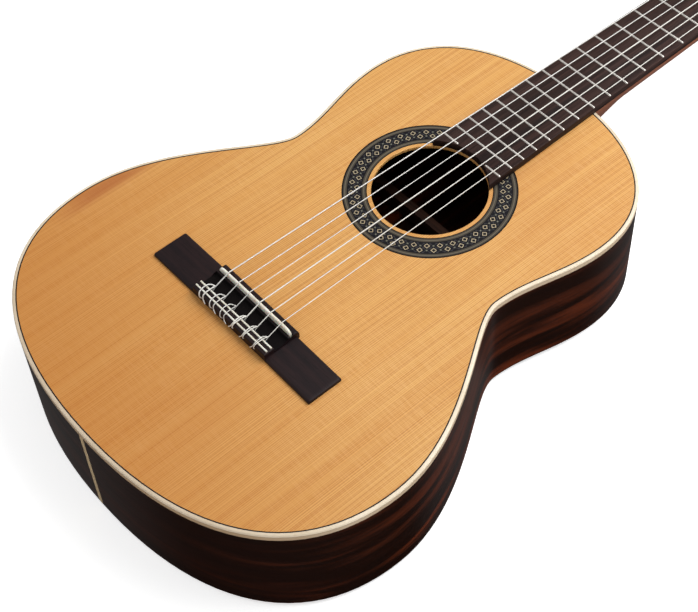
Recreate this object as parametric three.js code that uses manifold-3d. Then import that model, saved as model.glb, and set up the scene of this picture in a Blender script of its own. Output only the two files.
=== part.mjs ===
// A full-size classical guitar with a slotted head, lying on its back.
// X runs across the body (bass side negative), Y from the tail to the head,
// Z up through the soundboard. Lengths are in millimetres.
// Heights in the named values are measured from the soundboard's rim, and
// distances along Y from the saddle end of the 650 mm string scale.
import * as THREE from 'three';
import Module from 'manifold-3d';
import { mergeVertices } from 'three/addons/utils/BufferGeometryUtils.js';

const wasm = await Module();
wasm.setup();

const GAP = 0.3;

// The scale and the twelfth-fret joint
const SCALE = 650;
const SADDLE_Y = -2.4;
const fretY = (n) => SCALE * 2 ** (-n / 12);

// Body outline: the extreme points of one half, and the lengths of the
// Bezier handles that join them into the lower bout, waist and upper bout
const TAIL_Y = -161;
const LOWER = { x: 186.5, y: -27.5 };
const WAIST = { x: 117, y: 132 };
const UPPER = { x: 133.5, y: 230 };
const SHOULDER_Y = 329.5;
const HANDLES = {
  tail: 119.5, lowerBack: 86.5, lowerFront: 72, waistBack: 24.5,
  waistFront: 32, upperBack: 37.5, upperFront: 62.5, shoulder: 83,
};
const OUTLINE_STEPS = 9;

// Body heights and wood thicknesses
const TAIL_DEPTH = 99.1;
const DEPTH_TAPER = 0.0075;
const BACK_LEVEL = -101.5;
const BACK_FLAT = { from: -110, to: 280, share: 0.3 };
const TOP_THICK = 2.5;
const BACK_THICK = 2.6;
const SIDE_THICK = 2.2;
const BINDING = { wide: 2.6, tall: 5.6 };
const GRAFT_WIDE = 3;
const DOME = { height: 3, y: -10, x: 175, toTail: 150, toHole: 115 };

// Soundhole and rosette
const HOLE = { y: 172, r: 46.2 };
const ROSETTE = { inner: 49.4, outer: 69.3, deep: 1.2 };
const RING_SEGMENTS = 24;

// Fingerboard, frets and nut
const BOARD = { halfAt12: 30.5, halfAtNut: 25, top: 7 };
const FRET = { wide: 2, tall: 1 };
const FRETS = 19;
const SPLIT_HALF = 15.5;
const NUT = { thick: 5, top: 7.9 };

// Bridge
const BRIDGE = { half: 91.6, back: -28.1, front: 2.3, wing: 2.9 };
const BLOCK = { half: 42.5, front: 4.4, top: 10.2, slotFloor: 5.4, trenchFloor: 7, wall: 1.8 };
const TIE_BLOCK_FRONT = -18.8;
const SADDLE = { half: 41, thick: 2.6, top: 14.4 };
const TIE_STRIP = { wide: 1.6, tall: 0.8, ys: [-20.3, -24.6] };
const TIE_HOLE_Z = 7.2;

// Strings, thinnest first
const STRING_DIAMETERS = [0.71, 0.82, 1.02, 0.74, 0.89, 1.09];
const SPREAD_SADDLE = 62.2;
const SPREAD_NUT = 43;

// Head: tilted back behind the nut, with two open slots
const HEAD = { tilt: 15, length: 188, half: 36.5, thick: 20, plate: 2.5 };
const HEAD_Y = SCALE + NUT.thick;
const SLOT = { inner: 10, outer: 24.5, from: 24, to: 150 };
const ROLLER = { ys: [58, 93, 128], z: -11.5, r: 5, shaft: 3 };
const ROLLER_STRING_X = [19.5, 17.3, 17];
const GEAR = { r: 6.2, from: 38.8, to: 43 };
const WORM = { r: 2.6, shaft: 1.5, from: -18, to: -5 };
const BUTTON = { from: -31, to: -49, halfWide: 7.5, halfThick: 4 };
const TUNER_PLATE = { thick: 1.1, from: 42, to: 138, low: -19.5, high: -3.5 };

const tilt = THREE.MathUtils.degToRad(-HEAD.tilt);
const HEAD_END_Y = HEAD_Y + HEAD.length * Math.cos(tilt);

// The whole guitar stands with its lowest plane at zero and its box centred
const guitar = new THREE.Group();
guitar.position.set(0, -(TAIL_Y + HEAD_END_Y) / 2, -BACK_LEVEL);

// The head's own frame: its face is the plane z = 0
const head = new THREE.Group();
head.position.set(0, HEAD_Y, 0);
head.rotation.x = tilt;
guitar.add(head);

// ---------------------------------------------------------------- helpers

const material = (color, roughness, metalness = 0) =>
  new THREE.MeshStandardMaterial({ color, roughness, metalness });

const WOODS = {
  cedar: material(0xd9a064, 0.35),
  rosewood: material(0x2e2220, 0.35),
  mahogany: material(0x8a5238, 0.4),
  ebony: material(0x4b3a34, 0.45),
  spruce: material(0xd8b98a, 0.6),
  maple: material(0xe9dcc0, 0.4),
  mosaic: material(0x4a4c50, 0.4),
};
const BONE = material(0xeee8d8, 0.35);
const NICKEL = material(0xc9c7c0, 0.25, 1);
const BRASS = material(0xc8a24a, 0.3, 1);
const PEARL = material(0xece6d6, 0.25);
const NYLON = material(0xe6e6e2, 0.2);
const SILVER_WOUND = material(0xd0cec8, 0.3, 1);

function add(name, geometry, finish, parent = guitar) {
  const mesh = new THREE.Mesh(geometry, finish.clone());
  mesh.name = name;
  parent.add(mesh);
  return mesh;
}

/** A closed geometry as a solid that can be joined and cut. */
function solid(geometry) {
  const bare = geometry.clone();
  bare.deleteAttribute('normal');
  bare.deleteAttribute('uv');
  const merged = mergeVertices(bare, 1e-4);
  return new wasm.Manifold(new wasm.Mesh({
    numProp: 3,
    vertProperties: new Float32Array(merged.attributes.position.array),
    triVerts: new Uint32Array(merged.index.array),
  }));
}

/** A cut or joined solid back as a geometry. */
function geometryOf(cut) {
  const mesh = cut.getMesh();
  const geometry = new THREE.BufferGeometry();
  geometry.setAttribute('position', new THREE.BufferAttribute(mesh.vertProperties, 3));
  geometry.setIndex(new THREE.BufferAttribute(mesh.triVerts, 1));
  return geometry;
}

/** Vertices and triangles as a geometry whose faces point out. */
function closedGeometry(points, triangles) {
  let volume = 0;
  for (const [a, b, c] of triangles) {
    const cross = new THREE.Vector3().crossVectors(points[b], points[c]);
    volume += points[a].dot(cross);
  }
  const index = triangles.flatMap(([a, b, c]) => (volume > 0 ? [a, b, c] : [a, c, b]));
  const geometry = new THREE.BufferGeometry().setFromPoints(points);
  geometry.setIndex(index);
  return geometry;
}

/** A skin through matching loops of points, with flat convex ends. */
function loft(loops, joined = false) {
  const count = loops[0].length;
  const points = loops.flat();
  const triangles = [];
  const last = joined ? loops.length : loops.length - 1;
  for (let i = 0; i < last; i += 1) {
    const here = i * count;
    const next = ((i + 1) % loops.length) * count;
    for (let j = 0; j < count; j += 1) {
      const k = (j + 1) % count;
      triangles.push([here + j, here + k, next + k], [here + j, next + k, next + j]);
    }
  }
  if (!joined) {
    const end = (loops.length - 1) * count;
    for (let j = 1; j < count - 1; j += 1) {
      triangles.push([0, j + 1, j], [end, end + j, end + j + 1]);
    }
  }
  return closedGeometry(points, triangles);
}

const v = (x, y, z) => new THREE.Vector3(x, y, z);

/** A block between two corners. */
function block(x0, x1, y0, y1, z0, z1) {
  const geometry = new THREE.BoxGeometry(x1 - x0, y1 - y0, z1 - z0);
  return geometry.translate((x0 + x1) / 2, (y0 + y1) / 2, (z0 + z1) / 2);
}

/** A flat outline in XY raised from z0 to z1. */
function raised(shape, z0, z1, curveSegments = RING_SEGMENTS) {
  const options = { depth: z1 - z0, bevelEnabled: false, curveSegments };
  return new THREE.ExtrudeGeometry(shape, options).translate(0, 0, z0);
}

/** A cylinder along X, from x0 to x1. */
function rodX(r, x0, x1, y, z, segments = 12) {
  const geometry = new THREE.CylinderGeometry(r, r, Math.abs(x1 - x0), segments);
  return geometry.rotateZ(Math.PI / 2).translate((x0 + x1) / 2, y, z);
}

/** A cylinder along Z, from z0 to z1. */
function rodZ(r, z0, z1, x, y, segments = 12) {
  const geometry = new THREE.CylinderGeometry(r, r, z1 - z0, segments);
  return geometry.rotateX(Math.PI / 2).translate(x, y, (z0 + z1) / 2);
}

/** A round tube through a few points. */
function tube(route, r, sides = 8) {
  const up = v(1, 0, 0);
  const loops = route.map((point, i) => {
    const before = route[Math.max(i - 1, 0)];
    const after = route[Math.min(i + 1, route.length - 1)];
    const along = after.clone().sub(before).normalize();
    const side = up.clone().addScaledVector(along, -up.dot(along)).normalize();
    const normal = new THREE.Vector3().crossVectors(along, side);
    return Array.from({ length: sides }, (_, j) => {
      const angle = (j / sides) * 2 * Math.PI;
      const corner = point.clone().addScaledVector(side, r * Math.cos(angle));
      return corner.addScaledVector(normal, r * Math.sin(angle));
    });
  });
  return loft(loops);
}

// ------------------------------------------------------- the body outline

/** Points of the treble half outline, tail to shoulder, moved in by inset. */
function halfOutline(inset = 0) {
  const h = HANDLES;
  const corner = (x, y) => new THREE.Vector2(x, y);
  const curves = [
    new THREE.CubicBezierCurve(
      corner(0, TAIL_Y), corner(h.tail, TAIL_Y),
      corner(LOWER.x, LOWER.y - h.lowerBack), corner(LOWER.x, LOWER.y)),
    new THREE.CubicBezierCurve(
      corner(LOWER.x, LOWER.y), corner(LOWER.x, LOWER.y + h.lowerFront),
      corner(WAIST.x, WAIST.y - h.waistBack), corner(WAIST.x, WAIST.y)),
    new THREE.CubicBezierCurve(
      corner(WAIST.x, WAIST.y), corner(WAIST.x, WAIST.y + h.waistFront),
      corner(UPPER.x, UPPER.y - h.upperBack), corner(UPPER.x, UPPER.y)),
    new THREE.CubicBezierCurve(
      corner(UPPER.x, UPPER.y), corner(UPPER.x, UPPER.y + h.upperFront),
      corner(h.shoulder, SHOULDER_Y), corner(0, SHOULDER_Y)),
  ];
  const points = [];
  curves.forEach((curve, i) => {
    for (let k = i === 0 ? 0 : 1; k <= OUTLINE_STEPS; k += 1) {
      const t = k / OUTLINE_STEPS;
      const point = curve.getPoint(t);
      const along = curve.getTangent(t);
      points.push(corner(point.x - along.y * inset, point.y + along.x * inset));
    }
  });
  points[0].x = 0;
  points[points.length - 1].x = 0;
  return points;
}

/** A thin plate over the whole outline between two height functions. */
function plate(outline, low, high, columns = 8) {
  const points = [];
  const rows = outline.map(({ x, y }) => {
    const across = x === 0 ? [0] : Array.from(
      { length: columns + 1 }, (_, j) => (2 * j) / columns - 1);
    return across.map((u) => {
      points.push(v(u * x, y, low(u * x, y, u)), v(u * x, y, high(u * x, y, u)));
      return points.length - 2;
    });
  });
  const triangles = [];
  const pick = (row, j) => row[Math.min(j, row.length - 1)];
  for (let i = 0; i < rows.length - 1; i += 1) {
    const [a, b] = [rows[i], rows[i + 1]];
    for (let j = 0; j < columns; j += 1) {
      const cell = [pick(a, j), pick(a, j + 1), pick(b, j + 1), pick(b, j)];
      for (const [p, q, r] of [[0, 1, 2], [0, 2, 3]]) {
        const [d, e, f] = [cell[p], cell[q], cell[r]];
        if (d !== e && e !== f && f !== d) {
          triangles.push([d, f, e], [d + 1, e + 1, f + 1]);
        }
      }
    }
    const [left, nextLeft] = [a[0], b[0]];
    const [right, nextRight] = [a[a.length - 1], b[b.length - 1]];
    triangles.push([left, left + 1, nextLeft + 1], [left, nextLeft + 1, nextLeft]);
    triangles.push([right, nextRight + 1, right + 1], [right, nextRight, nextRight + 1]);
  }
  return closedGeometry(points, triangles);
}

const edgeDepth = (y) => TAIL_DEPTH - DEPTH_TAPER * (y - TAIL_Y);

/** Height of the top face of the soundboard: flat, with a low dome. */
function topHeight(x, y) {
  const along = (y - DOME.y) / (y < DOME.y ? DOME.toTail : DOME.toHole);
  const reach = Math.min((x / DOME.x) ** 2 + along ** 2, 1);
  return DOME.height * (1 - reach) ** 2;
}

/** Height of the outer face of the back: arched, with a flat middle to lie on. */
function backHeight(x, y, u) {
  const edge = -edgeDepth(y);
  const past = Math.max(BACK_FLAT.from - y, y - BACK_FLAT.to, 0);
  const room = y < 0 ? BACK_FLAT.from - TAIL_Y : SHOULDER_Y - BACK_FLAT.to;
  const lengthways = 1 - (past / room) ** 2;
  const side = Math.max(Math.abs(u) - BACK_FLAT.share, 0) / (1 - BACK_FLAT.share);
  return edge + (BACK_LEVEL - edge) * lengthways * (1 - side ** 2);
}

// --------------------------------------------------------------- the body

const ringCutter = (r, z0, z1) => solid(rodZ(r, z0, z1, 0, HOLE.y, 2 * RING_SEGMENTS));

function makeSoundboard() {
  const outline = halfOutline(BINDING.wide + GAP);
  const whole = solid(plate(outline, (x, y) => topHeight(x, y) - TOP_THICK, topHeight));
  const channel = ringCutter(ROSETTE.outer, -ROSETTE.deep, 1)
    .subtract(ringCutter(ROSETTE.inner, -ROSETTE.deep - 1, 2));
  return geometryOf(whole.subtract(ringCutter(HOLE.r, -9, 9)).subtract(channel));
}

function makeRosette() {
  const ring = new THREE.Shape();
  ring.absarc(0, HOLE.y, ROSETTE.outer - GAP, 0, 2 * Math.PI);
  const hole = new THREE.Path();
  hole.absarc(0, HOLE.y, ROSETTE.inner + GAP, 0, 2 * Math.PI);
  ring.holes.push(hole);
  return raised(ring, -ROSETTE.deep + GAP, 0);
}

/** One bent side: a ribbon from the tail graft round to the heel. */
function makeSide(sign) {
  const outer = halfOutline();
  const inner = halfOutline(SIDE_THICK);
  const nearest = GRAFT_WIDE / 2 + GAP;
  const loops = outer.map((point, i) => {
    const x = Math.max(point.x, nearest) * sign;
    const innerX = Math.max(inner[i].x, nearest) * sign;
    const low = BACK_THICK + GAP - edgeDepth(point.y);
    const high = -BINDING.tall - GAP;
    return [
      v(x, point.y, low), v(x, point.y, high),
      v(innerX, inner[i].y, high), v(innerX, inner[i].y, low),
    ];
  });
  return loft(loops);
}

function makeBinding() {
  const outer = halfOutline();
  const inner = halfOutline(BINDING.wide);
  const loop = (i, sign) => [
    v(outer[i].x * sign, outer[i].y, -BINDING.tall), v(outer[i].x * sign, outer[i].y, 0),
    v(inner[i].x * sign, inner[i].y, 0), v(inner[i].x * sign, inner[i].y, -BINDING.tall),
  ];
  const treble = outer.map((_, i) => loop(i, 1));
  const bass = outer.map((_, i) => loop(i, -1)).slice(1, -1).reverse();
  return loft([...treble, ...bass], true);
}

add('soundboard', makeSoundboard(), WOODS.cedar);
add('rosette', makeRosette(), WOODS.mosaic);
add('back', plate(halfOutline(), backHeight, (x, y) => BACK_THICK - edgeDepth(y)), WOODS.rosewood);
add('side_bass', makeSide(-1), WOODS.rosewood);
add('side_treble', makeSide(1), WOODS.rosewood);
add('top_binding', makeBinding(), WOODS.maple);
add('end_graft', block(
  -GRAFT_WIDE / 2, GRAFT_WIDE / 2, TAIL_Y, TAIL_Y + SIDE_THICK,
  BACK_THICK + GAP - edgeDepth(TAIL_Y), -BINDING.tall - GAP), WOODS.maple);

// -------------------------------------------- blocks and braces inside it

const INSIDE_TOP = -TOP_THICK - GAP;
const insideFloor = (y) => BACK_THICK + GAP - edgeDepth(y);
const TAIL_BLOCK = { half: 35, deep: 14, setIn: 5.4 };
const NECK_BLOCK = { half: 26, deep: 24, foot: 46, footTall: 20, setIn: 6.4 };

add('tail_block', block(
  -TAIL_BLOCK.half, TAIL_BLOCK.half, TAIL_Y + TAIL_BLOCK.setIn,
  TAIL_Y + TAIL_BLOCK.setIn + TAIL_BLOCK.deep,
  insideFloor(TAIL_Y), INSIDE_TOP), WOODS.mahogany);

function makeNeckBlock() {
  const end = SHOULDER_Y - NECK_BLOCK.setIn;
  const floor = insideFloor(end);
  const { half, deep, foot, footTall } = NECK_BLOCK;
  const post = solid(block(-half, half, end - deep, end, floor, INSIDE_TOP));
  return geometryOf(post.add(solid(block(
    -half, half, end - foot, end - deep + 1, floor, floor + footTall))));
}
add('neck_block', makeNeckBlock(), WOODS.mahogany);

const HARMONIC_BARS = [{ y: 110, half: 112 }, { y: 236, half: 125 }];
const HARMONIC = { halfWide: 3.5, tall: 15 };
const HOLE_BAR = { x: 62, halfWide: 4, tall: 5 };
const FANS = 7;
const FAN = { wide: 5, tall: 4.5, spacing: 34, converge: 0.55, tail: -148, sweep: 22, hole: 108 };
const CLOSING = { x: 62, y: -105, angle: 35, length: 118, halfWide: 2.5, tall: 4.5 };

/** The lattice under the soundboard: harmonic bars, hole bars, fans, closing bars. */
function makeTopBracing() {
  const under = INSIDE_TOP;
  const bar = (x0, x1, y0, y1, tall) => solid(block(x0, x1, y0, y1, under - tall, under));
  const [low, high] = HARMONIC_BARS;
  const harmonic = ({ y, half }) =>
    bar(-half, half, y - HARMONIC.halfWide, y + HARMONIC.halfWide, HARMONIC.tall);
  let all = harmonic(low).add(harmonic(high));
  for (const sign of [-1, 1]) {
    const x = sign * HOLE_BAR.x;
    all = all.add(bar(x - HOLE_BAR.halfWide, x + HOLE_BAR.halfWide, low.y, high.y, HOLE_BAR.tall));
    const closing = block(
      -CLOSING.length / 2, CLOSING.length / 2, -CLOSING.halfWide, CLOSING.halfWide,
      under - CLOSING.tall, under);
    closing.rotateZ(sign * THREE.MathUtils.degToRad(CLOSING.angle));
    all = all.add(solid(closing.translate(sign * CLOSING.x, CLOSING.y, 0)));
  }
  for (let i = 0; i < FANS; i += 1) {
    const step = i - (FANS - 1) / 2;
    const sweep = FAN.sweep * Math.max(Math.abs(step), 0.5);
    const tail = v(step * FAN.spacing, FAN.tail + sweep, 0);
    const hole = v(step * FAN.spacing * FAN.converge, FAN.hole, 0);
    const length = tail.distanceTo(hole);
    const fan = block(-FAN.wide / 2, FAN.wide / 2, 0, length, under - FAN.tall, under);
    fan.rotateZ(Math.atan2(tail.x - hole.x, hole.y - tail.y));
    all = all.add(solid(fan.translate(tail.x, tail.y, 0)));
  }
  return geometryOf(all);
}

const BACK_BARS = [{ y: -85, half: 150 }, { y: 60, half: 148 }, { y: 195, half: 118 }];
const BACK_BAR = { halfWide: 4, low: 3.4, tall: 14.6 };
const BACK_STRIP = { half: 8, tall: 3, fromTail: 22, fromHeel: 54 };

/** The ladder on the inside of the back: three bars on a centre strip. */
function makeBackBracing() {
  const floor = insideFloor(TAIL_Y) + BACK_BAR.low;
  const strip = solid(block(
    -BACK_STRIP.half, BACK_STRIP.half, TAIL_Y + BACK_STRIP.fromTail,
    SHOULDER_Y - BACK_STRIP.fromHeel, floor, floor + BACK_STRIP.tall));
  const bar = ({ y, half }) => solid(block(
    -half, half, y - BACK_BAR.halfWide, y + BACK_BAR.halfWide, floor, floor + BACK_BAR.tall));
  return geometryOf(BACK_BARS.reduce((all, place) => all.add(bar(place)), strip));
}
add('top_bracing', makeTopBracing(), WOODS.spruce);
add('back_bracing', makeBackBracing(), WOODS.mahogany);

// --------------------------------------------------- neck and fingerboard

/** Half width of the fingerboard at a distance from the saddle. */
function boardHalf(y) {
  const share = (y - fretY(12)) / (SCALE - fretY(12));
  return BOARD.halfAt12 + (BOARD.halfAtNut - BOARD.halfAt12) * share;
}

const NECK_DEPTH = { atNut: 15.5, atHeel: 19 };
// Heel levels: height, half width, and how far it stands out from the body
const HEEL = [
  { z: -4, half: 28, out: 40 }, { z: -14, half: 27, out: 32 },
  { z: -22, half: 25, out: 25 }, { z: -34, half: 21.5, out: 19.5 },
  { z: -50, half: 17.5, out: 17 }, { z: -70, half: 15, out: 15.5 },
  { z: -93, half: 14, out: 15 },
];
const ARC_STEPS = 10;
// How square the two sections are: powers of the sine round each arc
const SHAFT_POWER = 0.8;
const HEEL_POWER = 0.9;

function makeNeck() {
  const start = SHOULDER_Y - 12;
  const shaft = [];
  for (const y of [start, 400, 520, HEAD_Y]) {
    const half = boardHalf(y);
    const share = (y - start) / (HEAD_Y - start);
    const deep = THREE.MathUtils.lerp(NECK_DEPTH.atHeel, NECK_DEPTH.atNut, share);
    shaft.push(Array.from({ length: ARC_STEPS + 1 }, (_, j) => {
      const angle = (j / ARC_STEPS) * Math.PI;
      return v(-half * Math.cos(angle), y, -deep * Math.sin(angle) ** SHAFT_POWER);
    }));
  }
  const heel = HEEL.map(({ z, half, out }) => {
    const arc = Array.from({ length: ARC_STEPS + 1 }, (_, j) => {
      const angle = (j / ARC_STEPS) * Math.PI;
      return v(-half * Math.cos(angle), SHOULDER_Y + out * Math.sin(angle) ** HEEL_POWER, z);
    });
    return [v(-half, start, z), ...arc, v(half, start, z)];
  });
  const body = plate(halfOutline(-GAP), () => -120, () => 20, 2);
  return geometryOf(solid(loft(shaft)).add(solid(loft(heel))).subtract(solid(body)));
}

function makeFingerboard() {
  const end = boardHalf(fretY(FRETS)) + 0.2;
  const r = HOLE.r;
  const angle = Math.acos(end / r);
  const shape = new THREE.Shape();
  shape.moveTo(BOARD.halfAtNut, SCALE - GAP);
  shape.lineTo(-BOARD.halfAtNut, SCALE - GAP);
  shape.lineTo(-end, HOLE.y + r * Math.sin(angle));
  shape.absarc(0, HOLE.y, r, Math.PI - angle, angle, true);
  return raised(shape, GAP, BOARD.top, 16);
}

/** A fret wire across the board between two places. */
function makeFret(x0, x1, y) {
  const profile = [[-1, 0], [-0.85, 0.6], [-0.35, 1], [0.35, 1], [0.85, 0.6], [1, 0]];
  const end = (x, inward) => profile.map(([p, q]) => v(
    x + inward * (0.2 + 0.6 * q), y + (p * FRET.wide) / 2, BOARD.top + 0.05 + q * FRET.tall));
  return loft([end(x0, 1), end(x1, -1)]);
}

add('neck', makeNeck(), WOODS.mahogany);
add('fingerboard', makeFingerboard(), WOODS.ebony);
for (let n = 1; n < FRETS; n += 1) {
  const y = fretY(n);
  add(`fret_${n}`, makeFret(-boardHalf(y), boardHalf(y), y), NICKEL);
}
const lastFret = fretY(FRETS);
add('fret_19_bass', makeFret(-boardHalf(lastFret), -SPLIT_HALF, lastFret), NICKEL);
add('fret_19_treble', makeFret(SPLIT_HALF, boardHalf(lastFret), lastFret), NICKEL);
add('nut', block(
  -BOARD.halfAtNut, BOARD.halfAtNut, SCALE, SCALE + NUT.thick - 0.4, GAP, NUT.top), BONE);

// ------------------------------------------------------------- the bridge

function makeBridge() {
  const { half, back, front, wing } = BRIDGE;
  const wings = plate(
    [[0, back], [half, back + 0.01], [half, front - 0.01], [0, front]].map(
      ([x, y]) => ({ x, y })), () => 0, (x) => topHeight(x, DOME.y) + wing, 10);
  const centre = solid(block(-BLOCK.half, BLOCK.half, back, BLOCK.front, 0, BLOCK.top));
  const slotHalf = SADDLE.thick / 2 + GAP;
  const slot = solid(block(
    -BLOCK.half - 1, BLOCK.half + 1, SADDLE_Y - slotHalf, SADDLE_Y + slotHalf,
    BLOCK.slotFloor, 20));
  const trench = solid(block(
    -BLOCK.half - 1, BLOCK.half + 1, TIE_BLOCK_FRONT, SADDLE_Y - slotHalf - BLOCK.wall,
    BLOCK.trenchFloor, 20));
  const top = solid(plate(halfOutline(), () => -9, (x, y) => topHeight(x, y) + GAP));
  const whole = solid(wings).add(centre).subtract(slot).subtract(trench);
  return geometryOf(whole.subtract(top));
}

/** The bone saddle: a bar with a rounded crest. */
function makeSaddle() {
  const t = SADDLE.thick / 2;
  const profile = [
    [-t, BLOCK.slotFloor + GAP], [-t, SADDLE.top - 1.3], [-t * 0.45, SADDLE.top - 0.25],
    [t * 0.2, SADDLE.top], [t, SADDLE.top - 0.6], [t, BLOCK.slotFloor + GAP],
  ];
  return loft([-1, 1].map((sign) => profile.map(
    ([y, z]) => v(sign * SADDLE.half, SADDLE_Y + y, z))));
}

add('bridge', makeBridge(), WOODS.rosewood);
add('saddle', makeSaddle(), BONE);
['tie_strip_front', 'tie_strip_back'].forEach((name, i) => {
  const y = TIE_STRIP.ys[i];
  add(name, block(
    -BLOCK.half + 1.2, BLOCK.half - 1.2, y - TIE_STRIP.wide / 2, y + TIE_STRIP.wide / 2,
    BLOCK.top + 0.1, BLOCK.top + 0.1 + TIE_STRIP.tall), BONE);
});

// ---------------------------------------------------------------- the head

function headOutline() {
  const shape = new THREE.Shape();
  const { half, length } = HEAD;
  const foot = BOARD.halfAtNut;
  shape.moveTo(-foot, -9);
  shape.lineTo(foot, -9);
  shape.lineTo(foot, 4);
  shape.bezierCurveTo(foot, 12, half, 10, half, 22);
  shape.lineTo(half, length - 20);
  shape.quadraticCurveTo(half, length - 9, half - 9, length - 9);
  shape.quadraticCurveTo(half - 20, length - 9, 0, length);
  shape.quadraticCurveTo(20 - half, length - 9, 9 - half, length - 9);
  shape.quadraticCurveTo(-half, length - 9, -half, length - 20);
  shape.lineTo(-half, 22);
  shape.bezierCurveTo(-half, 10, -foot, 12, -foot, 4);
  for (const sign of [-1, 1]) {
    const middle = (sign * (SLOT.inner + SLOT.outer)) / 2;
    const r = (SLOT.outer - SLOT.inner) / 2;
    const slot = new THREE.Path();
    slot.absarc(middle, SLOT.from + r, r, Math.PI, 2 * Math.PI);
    slot.absarc(middle, SLOT.to - r, r, 0, Math.PI);
    shape.holes.push(slot);
  }
  return shape;
}

/** Everything on the neck's side of the nut's far face, in the head's frame. */
function neckCutter() {
  const beyond = block(-60, 60, -60, GAP, -60, 60);
  return solid(beyond.rotateX(-tilt));
}

function makeHeadstock() {
  let wood = solid(raised(headOutline(), -HEAD.thick, -HEAD.plate - GAP, 6));
  wood = wood.subtract(neckCutter());
  const bore = ROLLER.shaft + GAP;
  for (const y of ROLLER.ys) {
    wood = wood.subtract(solid(rodX(bore, -HEAD.half - 1, -SLOT.outer + 1, y, ROLLER.z)));
    wood = wood.subtract(solid(rodX(bore, SLOT.outer - 1, HEAD.half + 1, y, ROLLER.z)));
    wood = wood.subtract(solid(rodX(bore, -SLOT.inner - 1, -3.4, y, ROLLER.z)));
    wood = wood.subtract(solid(rodX(bore, 3.4, SLOT.inner + 1, y, ROLLER.z)));
  }
  return geometryOf(wood);
}

function makeHeadPlate() {
  const veneer = solid(raised(headOutline(), -HEAD.plate, 0, 6));
  return geometryOf(veneer.subtract(neckCutter()));
}

add('headstock', makeHeadstock(), WOODS.mahogany, head);
add('head_plate', makeHeadPlate(), WOODS.rosewood, head);

// ------------------------------------------------------ the tuning machines

const wormY = (gearY) => gearY - GEAR.r - WORM.r - GAP;
const WORM_X = (GEAR.from + GEAR.to) / 2;

/** A side plate with a pair of arms round each worm. */
function makeTunerPlate(sign) {
  const inner = HEAD.half + GAP;
  const outer = inner + TUNER_PLATE.thick;
  const armEnd = WORM_X + WORM.shaft + 1.6;
  const span = (a, b) => [Math.min(sign * a, sign * b), Math.max(sign * a, sign * b)];
  let metal = solid(block(
    ...span(inner, outer), TUNER_PLATE.from, TUNER_PLATE.to, TUNER_PLATE.low, TUNER_PLATE.high));
  for (const y of ROLLER.ys) {
    for (const [low, high] of [[WORM.from - 1.5, WORM.from - GAP], [WORM.to + GAP, -3.5]]) {
      const arm = block(...span(outer - 0.5, armEnd), wormY(y) - 3.2, wormY(y) + 3.2, low, high);
      metal = metal.add(solid(arm));
    }
    metal = metal.subtract(solid(rodX(
      ROLLER.shaft + GAP, sign * (inner - 1), sign * (outer + 0.9), y, ROLLER.z)));
    metal = metal.subtract(solid(rodZ(
      WORM.shaft + GAP, -30, 5, sign * WORM_X, wormY(y), 10)));
  }
  return geometryOf(metal);
}

/** A string roller with its gear wheel, turned about X. */
function makeRoller(sign) {
  const profile = [
    [0, 4], [ROLLER.shaft, 4], [ROLLER.shaft, SLOT.inner + 0.6], [ROLLER.r, SLOT.inner + 0.6],
    [ROLLER.r, SLOT.outer - 0.6], [ROLLER.shaft, SLOT.outer - 0.6],
    [ROLLER.shaft, GEAR.from], [GEAR.r, GEAR.from], [GEAR.r, GEAR.to], [2.6, GEAR.to],
    [2.2, GEAR.to + 1], [0, GEAR.to + 1],
  ].map(([r, x]) => new THREE.Vector2(r, x));
  const turned = new THREE.LatheGeometry(profile, 14);
  return geometryOf(solid(turned.rotateZ((-sign * Math.PI) / 2)));
}

/** A worm, its shaft and the button behind the head, turned about Z. */
function makeKnob() {
  const shaft = solid(rodZ(WORM.shaft, BUTTON.from - 1, TUNER_PLATE.high + 0.8, 0, 0, 10));
  const worm = solid(rodZ(WORM.r, WORM.from, WORM.to, 0, 0, 12));
  const levels = [
    [BUTTON.from, 0.35], [BUTTON.from - 2.5, 0.62], [BUTTON.from - 7, 0.98],
    [BUTTON.from - 12, 1], [BUTTON.to + 1.6, 0.82], [BUTTON.to, 0.45],
  ];
  const button = loft(levels.map(([z, share]) => Array.from({ length: 12 }, (_, j) => {
    const angle = (j / 12) * 2 * Math.PI;
    const thick = BUTTON.halfThick * (0.45 + 0.55 * share);
    return v(thick * Math.cos(angle), BUTTON.halfWide * share * Math.sin(angle), z);
  })));
  return geometryOf(shaft.add(worm).add(solid(button)));
}

/** Roller place of a string: 1 and 6 nearest the nut, 3 and 4 furthest. */
const rollerOf = (string) => (string <= 3 ? string - 1 : 6 - string);
const sideOf = (string) => (string <= 3 ? 1 : -1);

for (const [name, sign] of [['tuner_plate_bass', -1], ['tuner_plate_treble', 1]]) {
  add(name, makeTunerPlate(sign), BRASS, head);
}
for (let s = 1; s <= 6; s += 1) {
  const y = ROLLER.ys[rollerOf(s)];
  const sign = sideOf(s);
  add(`roller_${s}`, makeRoller(sign), BONE, head).position.set(0, y, ROLLER.z);
  add(`knob_${s}`, makeKnob(), PEARL, head).position.set(sign * WORM_X, wormY(y), 0);
}

// -------------------------------------------------------------- the strings

/** A point of the head's frame in the guitar's frame. */
const fromHead = (x, y, z) => v(x, y, z)
  .applyAxisAngle(v(1, 0, 0), tilt).add(v(0, HEAD_Y, 0));

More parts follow.
